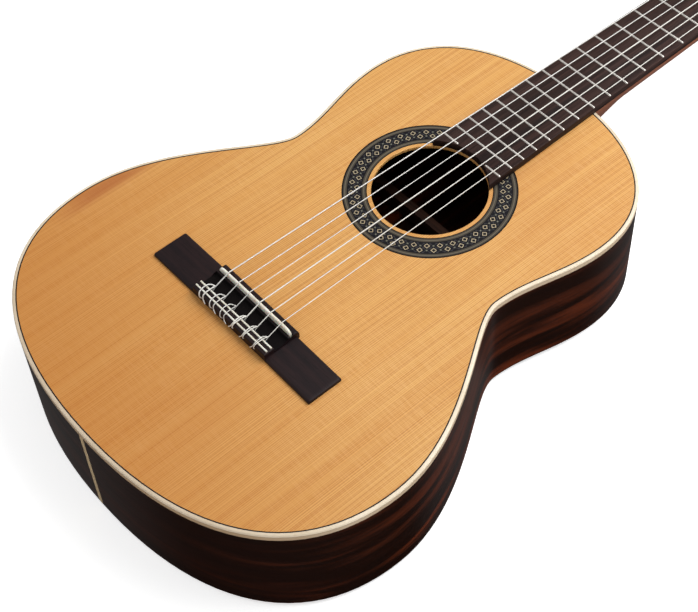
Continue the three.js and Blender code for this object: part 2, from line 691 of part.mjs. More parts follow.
for (let s = 1; s <= 6; s += 1) {
  const r = STRING_DIAMETERS[s - 1] / 2;
  const place = 0.5 - (s - 1) / 5;
  const x = place * SPREAD_SADDLE;
  const nutX = place * SPREAD_NUT;
  const rollerY = ROLLER.ys[rollerOf(s)];
  const rollerX = sideOf(s) * ROLLER_STRING_X[rollerOf(s)];
  const lift = r + 0.12;
  const route = [
    v(x, TIE_BLOCK_FRONT + GAP, TIE_HOLE_Z + 0.9),
    v(x, SADDLE_Y - 2, SADDLE.top - 0.9 + lift),
    v(x, SADDLE_Y + 0.3, SADDLE.top + lift),
    v(nutX, SCALE, NUT.top + lift),
    v(nutX, SCALE + NUT.thick + 0.2, NUT.top + lift - 0.1),
    fromHead(rollerX, rollerY + 1, ROLLER.z + ROLLER.r + r + GAP),
  ];
  add(`string_${s}`, tube(route, r), s <= 3 ? NYLON : SILVER_WOUND);
}

export default guitar;
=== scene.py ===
import math

import bmesh
import bpy
import numpy as np
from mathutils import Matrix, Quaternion, Vector


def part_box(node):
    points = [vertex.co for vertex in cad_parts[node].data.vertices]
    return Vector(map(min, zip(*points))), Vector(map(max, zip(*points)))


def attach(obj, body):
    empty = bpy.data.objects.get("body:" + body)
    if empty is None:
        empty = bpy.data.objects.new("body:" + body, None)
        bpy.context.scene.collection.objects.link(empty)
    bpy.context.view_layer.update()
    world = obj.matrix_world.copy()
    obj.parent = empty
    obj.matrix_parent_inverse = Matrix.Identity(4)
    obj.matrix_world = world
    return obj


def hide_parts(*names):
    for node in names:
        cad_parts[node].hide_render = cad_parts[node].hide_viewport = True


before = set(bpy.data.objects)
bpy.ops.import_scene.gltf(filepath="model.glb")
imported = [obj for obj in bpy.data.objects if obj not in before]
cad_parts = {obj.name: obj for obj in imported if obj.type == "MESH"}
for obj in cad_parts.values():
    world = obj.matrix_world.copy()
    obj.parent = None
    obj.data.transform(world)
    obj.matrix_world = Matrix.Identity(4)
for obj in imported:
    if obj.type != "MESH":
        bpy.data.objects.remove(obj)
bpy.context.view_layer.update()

# ---------------------------------------------------------------- the view
# The camera stands off the treble side of the tail and looks down on the
# lower bout, with the neck running out of the far corner.
SCALE = 650.0
nut_low, rim_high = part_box("nut")[0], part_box("top_binding")[1]
scale_origin = np.array([0.0, nut_low.y * 1000 - SCALE, rim_high.z * 1000])


def place(points):
    """Millimetres from the scale's saddle end and the rim, as metres of the frame."""
    return (np.asarray(points, float) + scale_origin) / 1000


EYE = (598.2, -381.8, 928.4)
LOOK_AT = (27.9, 89.1, 0.0)
ROLL = math.radians(-2.37)

camera_data = bpy.data.cameras.new("camera")
camera_data.lens = 81.24
camera_data.sensor_width = 36
camera_data.shift_x = -0.0358
camera_data.shift_y = -0.0573
camera_data.clip_end = 50
camera = bpy.data.objects.new("camera", camera_data)
bpy.context.scene.collection.objects.link(camera)
camera.location = place(EYE)
look = Vector(place(LOOK_AT) - place(EYE))
camera.rotation_mode = "QUATERNION"
camera.rotation_quaternion = look.to_track_quat("-Z", "Y") @ Quaternion((0, 0, 1), ROLL)
bpy.context.scene.camera = camera

# ----------------------------------------------------- the studio and floor
# A white sweep lit by one broad lamp over the head and a weaker one over the
# tail, so the lacquer carries soft highlights and the shadows stay pale.


class Wire:
    """A socket of a finish. Ordinary arithmetic on it adds Math nodes."""

    def __init__(self, finish, socket):
        self.finish = finish
        self.socket = socket

    def math(self, operation, *values):
        return self.finish.node("ShaderNodeMath", {"operation": operation}, values)

    def __add__(self, other):
        return self.math("ADD", self, other)

    __radd__ = __add__

    def __sub__(self, other):
        return self.math("SUBTRACT", self, other)

    def __rsub__(self, other):
        return self.math("SUBTRACT", other, self)

    def __mul__(self, other):
        return self.math("MULTIPLY", self, other)

    __rmul__ = __mul__

    def __truediv__(self, other):
        return self.math("DIVIDE", self, other)

    def __abs__(self):
        return self.math("ABSOLUTE", self)

    def __gt__(self, other):
        return self.math("GREATER_THAN", self, other)

    def __lt__(self, other):
        return self.math("LESS_THAN", self, other)

    def fraction(self):
        return self.math("FRACT", self)

    def wave(self):
        return self.math("SINE", self)

    def most(self, other):
        return self.math("MAXIMUM", self, other)

    def ramp(self, low, high):
        """0 at low, 1 at high, and a smooth step between."""
        return self.finish.node(
            "ShaderNodeMapRange",
            {"interpolation_type": "SMOOTHSTEP"},
            {"Value": self, "From Min": low, "From Max": high},
        )


class Finish:
    """A material: its Principled shader, and one method that makes every other node."""

    def __init__(self, name, **sockets):
        self.material = bpy.data.materials.new(name)
        self.material.use_nodes = True
        self.tree = self.material.node_tree
        self.shader = self.tree.nodes["Principled BSDF"]
        self.set(**sockets)

    def feed(self, socket, value):
        if isinstance(value, Wire):
            self.tree.links.new(value.socket, socket)
        elif socket.type == "RGBA" and len(value) == 3:
            socket.default_value = (*value, 1)
        else:
            socket.default_value = value

    def set(self, **sockets):
        """Feeds the shader's sockets, named with _ for a space."""
        for name, value in sockets.items():
            self.feed(self.shader.inputs[name.replace("_", " ")], value)

    def node(self, kind, settings=None, sockets=(), output=0):
        """Any other node: its settings first, then its sockets' values or links."""
        made = self.tree.nodes.new(kind)
        for name, value in (settings or {}).items():
            setattr(made, name, value)
        pairs = sockets.items() if isinstance(sockets, dict) else enumerate(sockets)
        for key, value in pairs:
            self.feed(made.inputs[key], value)
        return Wire(self, made.outputs[output])

    def place(self, scale=(1, 1, 1), move=(0, 0, 0), source="Object"):
        """Object coordinates or the piece's UV map, in metres, moved and then scaled."""
        found = self.node("ShaderNodeTexCoord")
        found = Wire(self, found.socket.node.outputs[source])
        moved = self.node("ShaderNodeVectorMath", {"operation": "ADD"}, (found, move))
        return self.node("ShaderNodeVectorMath", {"operation": "MULTIPLY"}, (moved, scale))

    def parts(self, vector):
        """The three numbers of a vector."""
        split = self.node("ShaderNodeSeparateXYZ", {}, (vector,)).socket.node
        return [Wire(self, socket) for socket in split.outputs]

    def place_mm(self):
        """Object coordinates in millimetres from the scale's saddle end and the rim, in three."""
        return self.parts(self.place((1000, 1000, 1000), tuple(-scale_origin / 1000)))

    def noise(self, vector, detail, roughness=0.5, distortion=0.0):
        sockets = {"Vector": vector, "Scale": 1.0, "Detail": detail,
                   "Roughness": roughness, "Distortion": distortion}
        return self.node("ShaderNodeTexNoise", {}, sockets)

    def cloud(self, scale, detail, roughness=0.5, distortion=0.0, source="Object"):
        """Noise over the piece itself, longest along the axis where scale is least."""
        return self.noise(self.place(scale, source=source), detail, roughness, distortion)

    def mix(self, factor, first, second):
        sockets = {0: factor, 6: first, 7: second}
        return self.node("ShaderNodeMix", {"data_type": "RGBA"}, sockets, 2)

    def tones(self, factor, first, second):
        """A base colour of two tones."""
        self.set(Base_Color=self.mix(factor, first, second))

    def shade(self, factor, tint):
        """Mixes a tint over the base colour made so far."""
        base = self.shader.inputs["Base Color"].links[0].from_socket
        self.set(Base_Color=self.mix(factor, Wire(self, base), tint))

    def bump(self, height, strength):
        sockets = {"Strength": strength, "Distance": 0.0001, "Height": height}
        self.set(Normal=self.node("ShaderNodeBump", {}, sockets))


def colour(red, green, blue):
    """A colour as painters' charts give it, 0 to 255, made linear."""
    return tuple((c / 255 / 12.92 if c < 10.3 else ((c / 255 + 0.055) / 1.055) ** 2.4)
                 for c in (red, green, blue))


def clouded(name, scale, detail, first, second, **sockets):
    """A finish of two tones, one clouded over the other."""
    made = Finish(name, **sockets)
    made.tones(made.cloud(scale, detail), first, second)
    return made


paper = clouded("white_sweep", (3, 3, 3), 3, colour(247, 247, 247), colour(253, 253, 253),
                Roughness=0.9, Emission_Color=(1, 1, 1), Emission_Strength=0.6)
REACH = 40.0
sweep_corners = [(-REACH, -REACH, 0), (REACH, -REACH, 0), (REACH, REACH, 0), (-REACH, REACH, 0)]
sweep_mesh = bpy.data.meshes.new("floor")
sweep_mesh.from_pydata(sweep_corners, [], [(0, 1, 2, 3)])
sweep_mesh.materials.append(paper.material)
sweep = bpy.data.objects.new("floor", sweep_mesh)
bpy.context.scene.collection.objects.link(sweep)
# The lacquer mirrors a dark room below it instead of the bright floor
sweep.visible_glossy = False


def lamp(name, at, aim, wide, watts):
    """A square soft lamp that faces a point of the guitar."""
    data = bpy.data.lights.new(name, "AREA")
    data.size = wide
    data.energy = watts
    made = bpy.data.objects.new(name, data)
    bpy.context.scene.collection.objects.link(made)
    made.location = place(at)
    made.rotation_euler = Vector(place(aim) - place(at)).to_track_quat("-Z", "Y").to_euler()


MIDDLE_OF_BODY = (0, 80, 0)
lamp("lamp_over_head", (350, 900, 1300), MIDDLE_OF_BODY, 1.4, 27)
lamp("lamp_over_tail", (-900, -700, 1500), MIDDLE_OF_BODY, 1.6, 3)


class Sky(Finish):
    """The studio round the guitar, made with the same nodes as a finish."""

    def __init__(self, name):
        self.material = bpy.data.worlds.new(name)
        self.material.use_nodes = True
        self.tree = self.material.node_tree
        self.shader = self.tree.nodes["Background"]


studio = Sky("studio")
east, north, up = studio.parts(studio.place(source="Generated"))
# Weak light from below the horizon, where the ribs mirror it as a satin sheen
glow_under_head = north.ramp(0.35, 0.6) * (up < -0.1) * 0.12
glow_under_bass = (0.0 - east).ramp(0.2, 0.6) * (up < -0.1) * 0.1
over_floor = (0.8 - up.ramp(0.0, 0.3) * 0.4) * (up > -0.02)
studio.set(Color=(1, 1, 1), Strength=over_floor + glow_under_head + glow_under_bass)
bpy.context.scene.world = studio.material
bpy.context.scene.view_settings.view_transform = "Standard"

# ---------------------------------------------------------- the soundboard
# Two book-matched halves of cedar, 2.5 mm thick, glued along the middle line
# and braced into a low dome under the bridge. The rosette lies in a channel
# round the soundhole, and the edge stops at the black purfling line.
TAIL_Y = -161.0
SHOULDER_Y = 329.5
LOWER = (186.5, -27.5)
WAIST = (117.0, 132.0)
UPPER = (133.5, 230.0)
OUTLINE_CURVES = (
    ((0, TAIL_Y), (119.5, TAIL_Y), (LOWER[0], LOWER[1] - 86.5), LOWER),
    (LOWER, (LOWER[0], LOWER[1] + 72), (WAIST[0], WAIST[1] - 24.5), WAIST),
    (WAIST, (WAIST[0], WAIST[1] + 32), (UPPER[0], UPPER[1] - 37.5), UPPER),
    (UPPER, (UPPER[0], UPPER[1] + 62.5), (83, SHOULDER_Y), (0, SHOULDER_Y)),
)


def outline(inset=0.0, steps=26):
    """The closed body outline, from the tail up the treble side and back down the bass side.

    Each half is four cubic Bezier curves, sum of C(3,k) (1-t)^(3-k) t^k P_k, moved in along
    their normals by inset; the bass half is its mirror.
    """
    t = np.linspace(0, 1, steps, endpoint=False)[:, None]
    points, along = [], []
    for curve in OUTLINE_CURVES:
        p = np.array(curve, float)
        points.append((1 - t) ** 3 * p[0] + 3 * (1 - t) ** 2 * t * p[1]
                      + 3 * (1 - t) * t**2 * p[2] + t**3 * p[3])
        along.append((1 - t) ** 2 * (p[1] - p[0]) + 2 * (1 - t) * t * (p[2] - p[1])
                     + t**2 * (p[3] - p[2]))
    half = np.vstack([*points, [OUTLINE_CURVES[-1][-1]]])
    slope = np.vstack([*along, [(-1, 0)]])
    slope /= np.linalg.norm(slope, axis=1)[:, None]
    half = half + inset * np.column_stack([-slope[:, 1], slope[:, 0]])
    half[[0, -1], 0] = 0
    return np.vstack([half, half[-2:0:-1] * (-1, 1)])


DOME = {"height": 3.0, "y": -10.0, "x": 175.0, "to_tail": 150.0, "to_hole": 115.0}


def top_height(x, y):
    """Height of the soundboard: (1 - r^2)^2 of the dome, r the share of the way to its edge."""
    along = (y - DOME["y"]) / np.where(y < DOME["y"], DOME["to_tail"], DOME["to_hole"])
    reach = np.minimum((x / DOME["x"]) ** 2 + along**2, 1)
    return DOME["height"] * (1 - reach) ** 2


def raise_to(flat, z):
    """Points in plan with a height, or heights, given to them."""
    return np.column_stack([flat, np.broadcast_to(z, len(flat))])


def skin(name, grid, finish, body="root", around=True, closed=False, uv=None, sharp=35):
    """A smooth mesh over rows of points; around joins each row's ends, closed the last row
    to the first. uv gives the row and column distances in metres for the UV map."""
    grid = np.asarray(grid, float)
    rows, columns = grid.shape[:2]
    down = np.arange(rows if closed else rows - 1)
    over = np.arange(columns if around else columns - 1)
    r, c = (block.ravel() for block in np.meshgrid(down, over, indexing="ij"))
    r2, c2 = (r + 1) % rows, (c + 1) % columns
    corners = ((r, c), (r, c2), (r2, c2), (r2, c))
    faces = np.column_stack([i * columns + j for i, j in corners])
    mesh = bpy.data.meshes.new(name)
    mesh.from_pydata(place(grid.reshape(-1, 3)).tolist(), [], faces.tolist())
    if uv is not None:
        across, lengthways = (np.asarray(part, float) for part in uv)
        corners = [(r, c), (r, c + 1), (r + 1, c + 1), (r + 1, c)]
        flat = np.stack([np.column_stack([lengthways[j], across[i]]) for i, j in corners], 1)
        mesh.uv_layers.new(name="UVMap").data.foreach_set("uv", flat.ravel())
    return finished(name, mesh, finish, body, sharp)


def finished(name, mesh, finish, body="root", sharp=35):
    """Merges a mesh's doubles, turns its faces out, and puts it on its body."""
    work = bmesh.new()
    work.from_mesh(mesh)
    bmesh.ops.remove_doubles(work, verts=work.verts, dist=2e-6)
    bmesh.ops.recalc_face_normals(work, faces=work.faces)
    work.to_mesh(mesh)
    work.free()
    mesh.shade_smooth()
    mesh.set_sharp_from_angle(angle=math.radians(sharp))
    mesh.materials.append(finish.material)
    piece = bpy.data.objects.new(name, mesh)
    bpy.context.scene.collection.objects.link(piece)
    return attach(piece, body)


HOLE_Y = 172.0
HOLE_R = 46.2
ROSETTE_IN = 49.4
ROSETTE_OUT = 69.3
ROSETTE_DEEP = 1.2
HOLE_EASE = 0.25
TOP_THICK = 2.5
PURFLING_IN = 3.6

rim_line = outline(PURFLING_IN)
bearing = np.arctan2(rim_line[:, 1] - HOLE_Y, rim_line[:, 0])


def hole_ring(r):
    """A circle (r cos a, y + r sin a) round the soundhole, a point towards each of the rim's."""
    return np.column_stack([r * np.cos(bearing), HOLE_Y + r * np.sin(bearing)])


edge_ring = hole_ring(ROSETTE_OUT)
spread = [edge_ring + share * (rim_line - edge_ring) for share in np.linspace(0, 1, 34)]
hole_section = ((HOLE_R, -TOP_THICK), (HOLE_R, -HOLE_EASE), (HOLE_R + HOLE_EASE, 0),
                (ROSETTE_IN, 0), (ROSETTE_IN, -ROSETTE_DEEP), (ROSETTE_OUT, -ROSETTE_DEEP))
rows = [raise_to(hole_ring(r), z) for r, z in hole_section]
rows += [raise_to(ring, top_height(*ring.T)) for ring in spread]
rows += [raise_to(ring, top_height(*ring.T) - TOP_THICK) for ring in spread[::-3]]
rows += [raise_to(hole_ring(ROSETTE_OUT), -TOP_THICK)]

cedar = Finish("cedar_lacquered", Coat_Weight=0.08, Coat_Roughness=0.2, Specular_IOR_Level=0.25)
middle = (0, -scale_origin[1] / 1000, 0)
board_at = cedar.place(move=middle)
board_x, board_y, board_z = cedar.parts(board_at)
sway = cedar.cloud((3, 2.2, 1), 2)
half_x = abs(board_x) + sway * 0.006
grain_at = cedar.node("ShaderNodeCombineXYZ", {}, (half_x, board_y, board_z))


def along_grain(finish, source, x, y):
    """A position stretched so that noise on it runs along the grain."""
    return finish.node("ShaderNodeVectorMath", {"operation": "MULTIPLY"}, (source, (x, y, 1)))


fine = cedar.noise(along_grain(cedar, grain_at, 900, 2.2), 3, 0.62)
drift = cedar.noise(along_grain(cedar, grain_at, 120, 1.2), 2)
year_rings = (half_x * 4300 + drift * 14).wave()
broad = cedar.noise(along_grain(cedar, grain_at, 60, 1.6), 3, 0.55)
tone = cedar.cloud((5.5, 4.5, 1), 2)
silk = cedar.cloud((70, 1100, 1), 2, 0.6)
silk_patch = cedar.cloud((11, 8, 1), 1)
cedar.tones(broad.ramp(0.3, 0.7) * 0.7, colour(223, 172, 101), colour(212, 154, 82))
cedar.shade(fine.ramp(0.45, 0.62) * 0.4, colour(184, 118, 58))
ring_share = year_rings.ramp(0.0, 0.95) * (0.28 + fine.ramp(0.35, 0.6) * 0.42)
cedar.shade(ring_share, colour(172, 103, 48))
cedar.shade(silk.ramp(0.42, 0.66) * silk_patch * 0.5, colour(232, 184, 122))
cedar.shade(tone.ramp(0.5, 0.75) * 0.3, colour(190, 122, 62))
# Painted shade: the top is darkened towards the tail and the bass edge, where less light falls on
# it
deep = (0.1 - board_y - board_x * 0.35).ramp(-0.02, 0.32) * 0.66
cedar.shade(deep, colour(188, 116, 46))
# One dark, reddish streak near the rim of the bass lower bout, placed in metres
STREAK_AT, STREAK_HALF = (-0.1765, -0.012), (0.012, 0.062)
streak_x = abs(board_x - STREAK_AT[0]) / STREAK_HALF[0]
streak_y = abs(board_y - STREAK_AT[1]) / STREAK_HALF[1]
streak = (1.0 - streak_x.most(streak_y).ramp(0.1, 1.0)) * 0.6
cedar.shade(streak, colour(160, 78, 36))
cedar.set(Roughness=0.34 + fine * 0.1)
cedar.bump(fine, 0.12)
soundboard = skin("cedar_soundboard", rows, cedar, closed=True)
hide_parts("soundboard")

# --------------------------------------------------------------- the rosette
# A ring of wood mosaic inlaid flush with the top: lined grey-brown bands on
# both sides of a dark band with two staggered rows of small pale diamonds.
RING_STEPS = 180
turn = np.linspace(0, 2 * np.pi, RING_STEPS, endpoint=False)


def ring_row(r, z):
    """A level circle round the soundhole's axis."""
    return np.column_stack([r * np.cos(turn), HOLE_Y + r * np.sin(turn), np.full(RING_STEPS, z)])


ring_rows = [
    ring_row(ROSETTE_IN + 0.03, -1.0), ring_row(ROSETTE_IN + 0.03, 0.02),
    ring_row(ROSETTE_OUT - 0.03, 0.02), ring_row(ROSETTE_OUT - 0.03, -1.0),
]
ring_radii = np.array([ROSETTE_IN, ROSETTE_IN, ROSETTE_OUT, ROSETTE_OUT, ROSETTE_IN]) / 1000
DIAMONDS = 36
DIAMOND_ROWS = ((57.2, 0.0), (61.6, 0.5))
DIAMOND_OUT, DIAMOND_IN, DOT = 2.45, 1.65, 0.85
# Radii in mm between which each part of the pattern lies
REED_LINES = ((51.4, 52.2), (66.3, 67.1))
MOSAIC_BAND = (53.8, 64.8)
LATTICE_BAND = (54.4, 64.2)
BLACK_LINES = ((49.0, 50.2), (53.4, 53.9), (64.6, 65.1), (68.1, 70.0))
EBONY = colour(14, 13, 18)

inlay = Finish("mosaic_inlay", Roughness=0.42, Specular_IOR_Level=0.15)
share, radius, _ = inlay.parts(inlay.place((DIAMONDS, 1000, 1), source="UV"))


def band(value, low, high):
    """1 between two values."""
    return (value > low) * (value < high)


reed = band(radius, *REED_LINES[0]).most(band(radius, *REED_LINES[1]))
reed_tone = inlay.cloud((500, 900, 1), 2, source="UV")
inlay.tones(reed_tone, colour(60, 54, 47), colour(80, 73, 62))
inlay.shade(reed * 0.7, colour(114, 106, 90))
inlay.shade(band(radius, *MOSAIC_BAND), colour(15, 14, 20))
rows_apart = DIAMOND_ROWS[1][0] - DIAMOND_ROWS[0][0]
slant = (radius - DIAMOND_ROWS[0][0]) / rows_apart
lattice = abs((share * 2 + slant).fraction() - 0.5)
counter = abs((share * 2 - slant).fraction() - 0.5)
woven = (lattice.most(counter) > 0.43) * band(radius, *LATTICE_BAND) * 0.35
inlay.shade(woven, colour(92, 90, 92))
for row_r, phase in DIAMOND_ROWS:
    pitch = 2 * math.pi * row_r / DIAMONDS
    aside = abs((share + phase).fraction() - 0.5) * pitch
    away = abs(radius - row_r) + aside
    inlay.shade(away < DIAMOND_OUT, colour(178, 163, 134))
    inlay.shade(away < DIAMOND_IN, EBONY)
    between = abs((share + phase + 0.5).fraction() - 0.5) * pitch
    in_dot = between + abs(radius - row_r) < DOT
    inlay.shade(in_dot, colour(112, 112, 98))
for black_line in BLACK_LINES:
    inlay.shade(band(radius, *black_line), colour(10, 9, 10))
rosette = skin("mosaic_rosette", ring_rows, inlay, closed=True,
               uv=(ring_radii, np.linspace(0, 1, RING_STEPS + 1)))
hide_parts("rosette")

# ---------------------------------------------------- binding and purfling
# A maple binding let into the corner of top and sides all round, rounded over
# on the outside, with a thin black purfling line between it and the cedar.
BINDING_WIDE = 2.6
BINDING_TALL = 5.6
# Inset and height round the binding's section, its outer corner eased
BINDING_SECTION = (
    (0.0, -BINDING_TALL), (-0.06, -3.0), (-0.06, -1.1), (0.08, -0.5), (0.42, -0.12),
    (0.95, 0.04), (BINDING_WIDE, 0.04), (BINDING_WIDE, -BINDING_TALL),
)
maple = Finish("maple_trim", Roughness=0.38, Coat_Weight=0.2, Coat_Roughness=0.2)
maple_cloud = maple.cloud((26, 26, 60), 3)
maple_fleck = maple.cloud((300, 300, 900), 2)
maple.tones(maple_cloud.ramp(0.3, 0.7), colour(233, 218, 194), colour(216, 199, 171))
maple.shade(maple_fleck.ramp(0.5, 0.8) * 0.3, colour(198, 170, 128))
# Heights in mm: below the first its side face is painted browner, as shade, and a glue seam runs
# at the second
SIDE_FACE_UNDER = -1.3
SEAM_AT, SEAM_HALF = -1.5, 0.25
_, rim_y, rim_level = maple.place_mm()
# Painted shade: the binding darkens towards the tail, where less light falls
painted_tail_shade = (0.0 - rim_y).ramp(60, 150)
maple.shade(painted_tail_shade * 0.4, colour(176, 150, 122))
# Painted shade on the binding's upright side face, deeper towards the tail
painted_side_shade = (rim_level < SIDE_FACE_UNDER) * (0.6 + painted_tail_shade * 0.3)
maple.shade(painted_side_shade, colour(156, 126, 92))
seam = (abs(rim_level - SEAM_AT) < SEAM_HALF) * 0.6
maple.shade(seam, colour(124, 94, 66))
binding = skin("top_edge_binding", [raise_to(outline(i), z) for i, z in BINDING_SECTION],
               maple, closed=True, sharp=50)
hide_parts("top_binding")

black = clouded("black_fibre_and_hole_shadow", (400, 400, 400), 2, colour(18, 14, 13), colour(34, 27, 24),
                Roughness=0.4, Specular_IOR_Level=0.25)
PURFLING_SECTION = (
    (BINDING_WIDE, -1.5), (BINDING_WIDE, 0.05), (PURFLING_IN, 0.05), (PURFLING_IN, -1.5))
purfling = skin("top_purfling", [raise_to(outline(i), z) for i, z in PURFLING_SECTION],
                black, closed=True)

# ------------------------------------------------------------------ sides
# Two rosewood ribs, 2.2 mm thick, bent to the outline and lacquered. They
# meet at the tail on a pale graft and run into the heel of the neck.
TAIL_DEPTH = 99.1
DEPTH_TAPER = 0.0075
BACK_THICK = 2.6
SIDE_THICK = 2.2
GRAFT_HALF = 2.3


def edge_depth(y):
    """Depth of the body at its edge: a straight taper from the tail to the heel."""
    return TAIL_DEPTH - DEPTH_TAPER * (y - TAIL_Y)


def rosewood_finish(name, source, streak_scale, sway=0.7):
    """Dark rosewood: near-black streaks and reddish brown ones along the grain."""
    made = Finish(name, Coat_Weight=0.06, Coat_Roughness=0.15, Specular_IOR_Level=0.16)
    streaks = made.cloud(streak_scale, 3, 0.6, sway, source=source)
    fibres = made.cloud([s * 6 for s in streak_scale], 2, 0.6, source=source)
    clouds = made.cloud([s * 0.3 for s in streak_scale], 1, source=source)
    made.tones(streaks.ramp(0.42, 0.66), colour(27, 11, 6), colour(90, 36, 12))
    made.shade(clouds.ramp(0.35, 0.65) * 0.7, colour(31, 15, 9))
    made.shade(fibres.ramp(0.5, 0.72) * 0.6, colour(18, 11, 9))
    made.set(Roughness=0.26 + fibres * 0.14)
    made.bump(fibres, 0.06)
    return made


side_wood = rosewood_finish("rosewood_side", "UV", (4, 48, 1))
# Painted shade: the ribs are darkened towards the tail, where less light reaches them, which hides
# their red streaks there
BASS_RIB_AT = 3.0
rib_share = side_wood.parts(side_wood.place((1 / BASS_RIB_AT, 1, 1), source="UV"))[0]
rib_along = rib_share.fraction() * BASS_RIB_AT
side_wood.shade((1.0 - rib_along.ramp(0.08, 0.26)) * 0.75, colour(27, 15, 12))
full_line = outline()
inner_line = outline(SIDE_THICK)
half_count = len(full_line) // 2 + 1
for side_name, sign in (("side_treble", 1), ("side_bass", -1)):
    outer = full_line[:half_count] * (sign, 1)
    inner = inner_line[:half_count] * (sign, 1)
    outer[0, 0] = inner[0, 0] = sign * GRAFT_HALF
    floor = BACK_THICK - edge_depth(outer[:, 1])
    length = np.r_[0, np.cumsum(np.hypot(*np.diff(outer, axis=0).T))] / 1000
    levels = np.linspace(0, 1, 7)
    rows = [raise_to(outer, floor + (-BINDING_TALL - floor) * up) for up in levels]
    rows += [raise_to(inner, -BINDING_TALL), raise_to(inner, floor)]
    heights = np.r_[levels * 0.09, 0.092, 0.18, 0.182]
    rib = skin(f"{side_name}_rib", rows, side_wood, around=False, closed=True,
               uv=(heights, length + (0.0 if sign > 0 else BASS_RIB_AT)))
    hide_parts(side_name)

graft_low = BACK_THICK - edge_depth(TAIL_Y)
graft_plan = [(-GRAFT_HALF, TAIL_Y - 0.03), (GRAFT_HALF, TAIL_Y - 0.03),
              (GRAFT_HALF, TAIL_Y + 2), (-GRAFT_HALF, TAIL_Y + 2)]
graft_rows = [np.tile([[0, TAIL_Y + 1, graft_low]], (4, 1))]
graft_rows += [raise_to(np.array(graft_plan), z) for z in (graft_low, -BINDING_TALL)]
graft_rows += [np.tile([[0, TAIL_Y + 1, -BINDING_TALL]], (4, 1))]
sycamore = clouded("grafted_strip", (900, 900, 14), 3, colour(196, 170, 126), colour(160, 132, 92),
                   Roughness=0.4, Coat_Weight=0.5, Coat_Roughness=0.2)
graft = skin("tail_graft", graft_rows, sycamore)
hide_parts("end_graft")

# ------------------------------------------------------------------- back
# Two rosewood plates joined along a thin pale strip, pressed into a low arch
# whose middle is level, and rounded over where they meet the sides.
BACK_LEVEL = -101.5
FLAT_FROM = -110.0
FLAT_TO = 280.0
FLAT_SHARE = 0.3
BACK_ROUND = 2.4


def back_height(flat, half_width):
    """Height of the outer face: from the edge down to the level middle, as 1 - side^2 across
    and 1 - past^2 lengthways beyond the ends of the level part."""
    x, y = flat.T
    edge = -edge_depth(y)
    past = np.maximum(np.maximum(FLAT_FROM - y, y - FLAT_TO), 0)
    room = np.where(y < 0, FLAT_FROM - TAIL_Y, SHOULDER_Y - FLAT_TO)
    side = np.clip(np.abs(x) / np.maximum(half_width, 1) - FLAT_SHARE, 0, None) / (1 - FLAT_SHARE)
    return edge + (BACK_LEVEL - edge) * (1 - (past / room) ** 2) * (1 - np.minimum(side, 1) ** 2)


line_y = full_line[:half_count, 1]
line_x = full_line[:half_count, 0]
middle_point = np.array([0.0, 60.0])
face_line = outline(BACK_ROUND)
rows = []
for share_out in np.linspace(0, 1, 26):
    flat = middle_point + share_out * (face_line - middle_point)
    rows.append(raise_to(flat, back_height(flat, np.interp(flat[:, 1], line_y, line_x))))
face_edge = rows[-1][:, 2]
for angle in np.radians((22, 45, 68, 90)):
    ring = outline(BACK_ROUND * (1 - math.sin(angle)))
    rows.append(raise_to(ring, face_edge + BACK_ROUND * (1 - math.cos(angle))))
top_of_back = BACK_THICK - edge_depth(full_line[:, 1])
rows.append(raise_to(full_line, np.maximum(top_of_back, rows[-1][:, 2])))
for share_out in (0.98, 0.6, 0.0):
    flat = middle_point + share_out * (full_line - middle_point)
    rows.append(raise_to(flat, BACK_THICK - edge_depth(flat[:, 1])))
back_wood = rosewood_finish("rosewood_back", "Object", (42, 2.2, 2.2))
rosewood_back = skin("rosewood_back_plate", rows, back_wood)
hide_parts("back")

STRIP_HALF = 2.0
strip_y = np.linspace(TAIL_Y + 4, SHOULDER_Y - 4, 60)
strip_rows = []
for x in (-STRIP_HALF, STRIP_HALF):
    flat = np.column_stack([np.full(len(strip_y), x), strip_y])
    strip_rows.append(raise_to(flat, back_height(flat, np.full(len(strip_y), 150.0)) - 0.03))
strip_rows += [row + (0, 0, 1.2) for row in strip_rows[::-1]]
centre_strip = skin("back_centre_strip", strip_rows, sycamore, around=False, closed=True)

# --------------------------------------------- blocks, linings and braces
# Inside the box: mahogany blocks at both ends, spruce fans and bars under the
# top, mahogany bars across the back, and kerfed linings that widen the glue
# joint round both rims.
BLOCK_RED = (colour(150, 96, 62), colour(112, 66, 42))
SPRUCE_PALE = (colour(214, 182, 132), colour(184, 148, 98))


def plain_wood(name, pale, dark, grain_scale, roughness, coat=0.0):
    """Open wood with its grain along the axis where grain_scale is least."""
    made = Finish(name, Coat_Weight=coat, Coat_Roughness=0.2)
    rings = made.cloud(grain_scale, 3, 0.6)
    pores = made.cloud([s * 5 for s in grain_scale], 2, 0.6)
    made.tones(rings.ramp(0.35, 0.68), pale, dark)
    made.shade(pores.ramp(0.52, 0.74) * 0.5, tuple(c * 0.45 for c in dark))
    made.set(Roughness=roughness + pores * 0.12)
    made.bump(pores, 0.1)
    return made


def wear(finish, *nodes):
    """Gives a finish to frame pieces that keep their own shape."""
    for node in nodes:
        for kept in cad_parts[node].material_slots:
            kept.material = finish.material


wear(plain_wood("mahogany_block", *BLOCK_RED, (160, 160, 9), 0.6), "tail_block", "neck_block")
wear(plain_wood("spruce_fan", *SPRUCE_PALE, (420, 14, 420), 0.65), "top_bracing")
wear(plain_wood("mahogany_bar", colour(84, 50, 34), colour(56, 32, 22), (9, 200, 200), 0.7),
     "back_bracing")

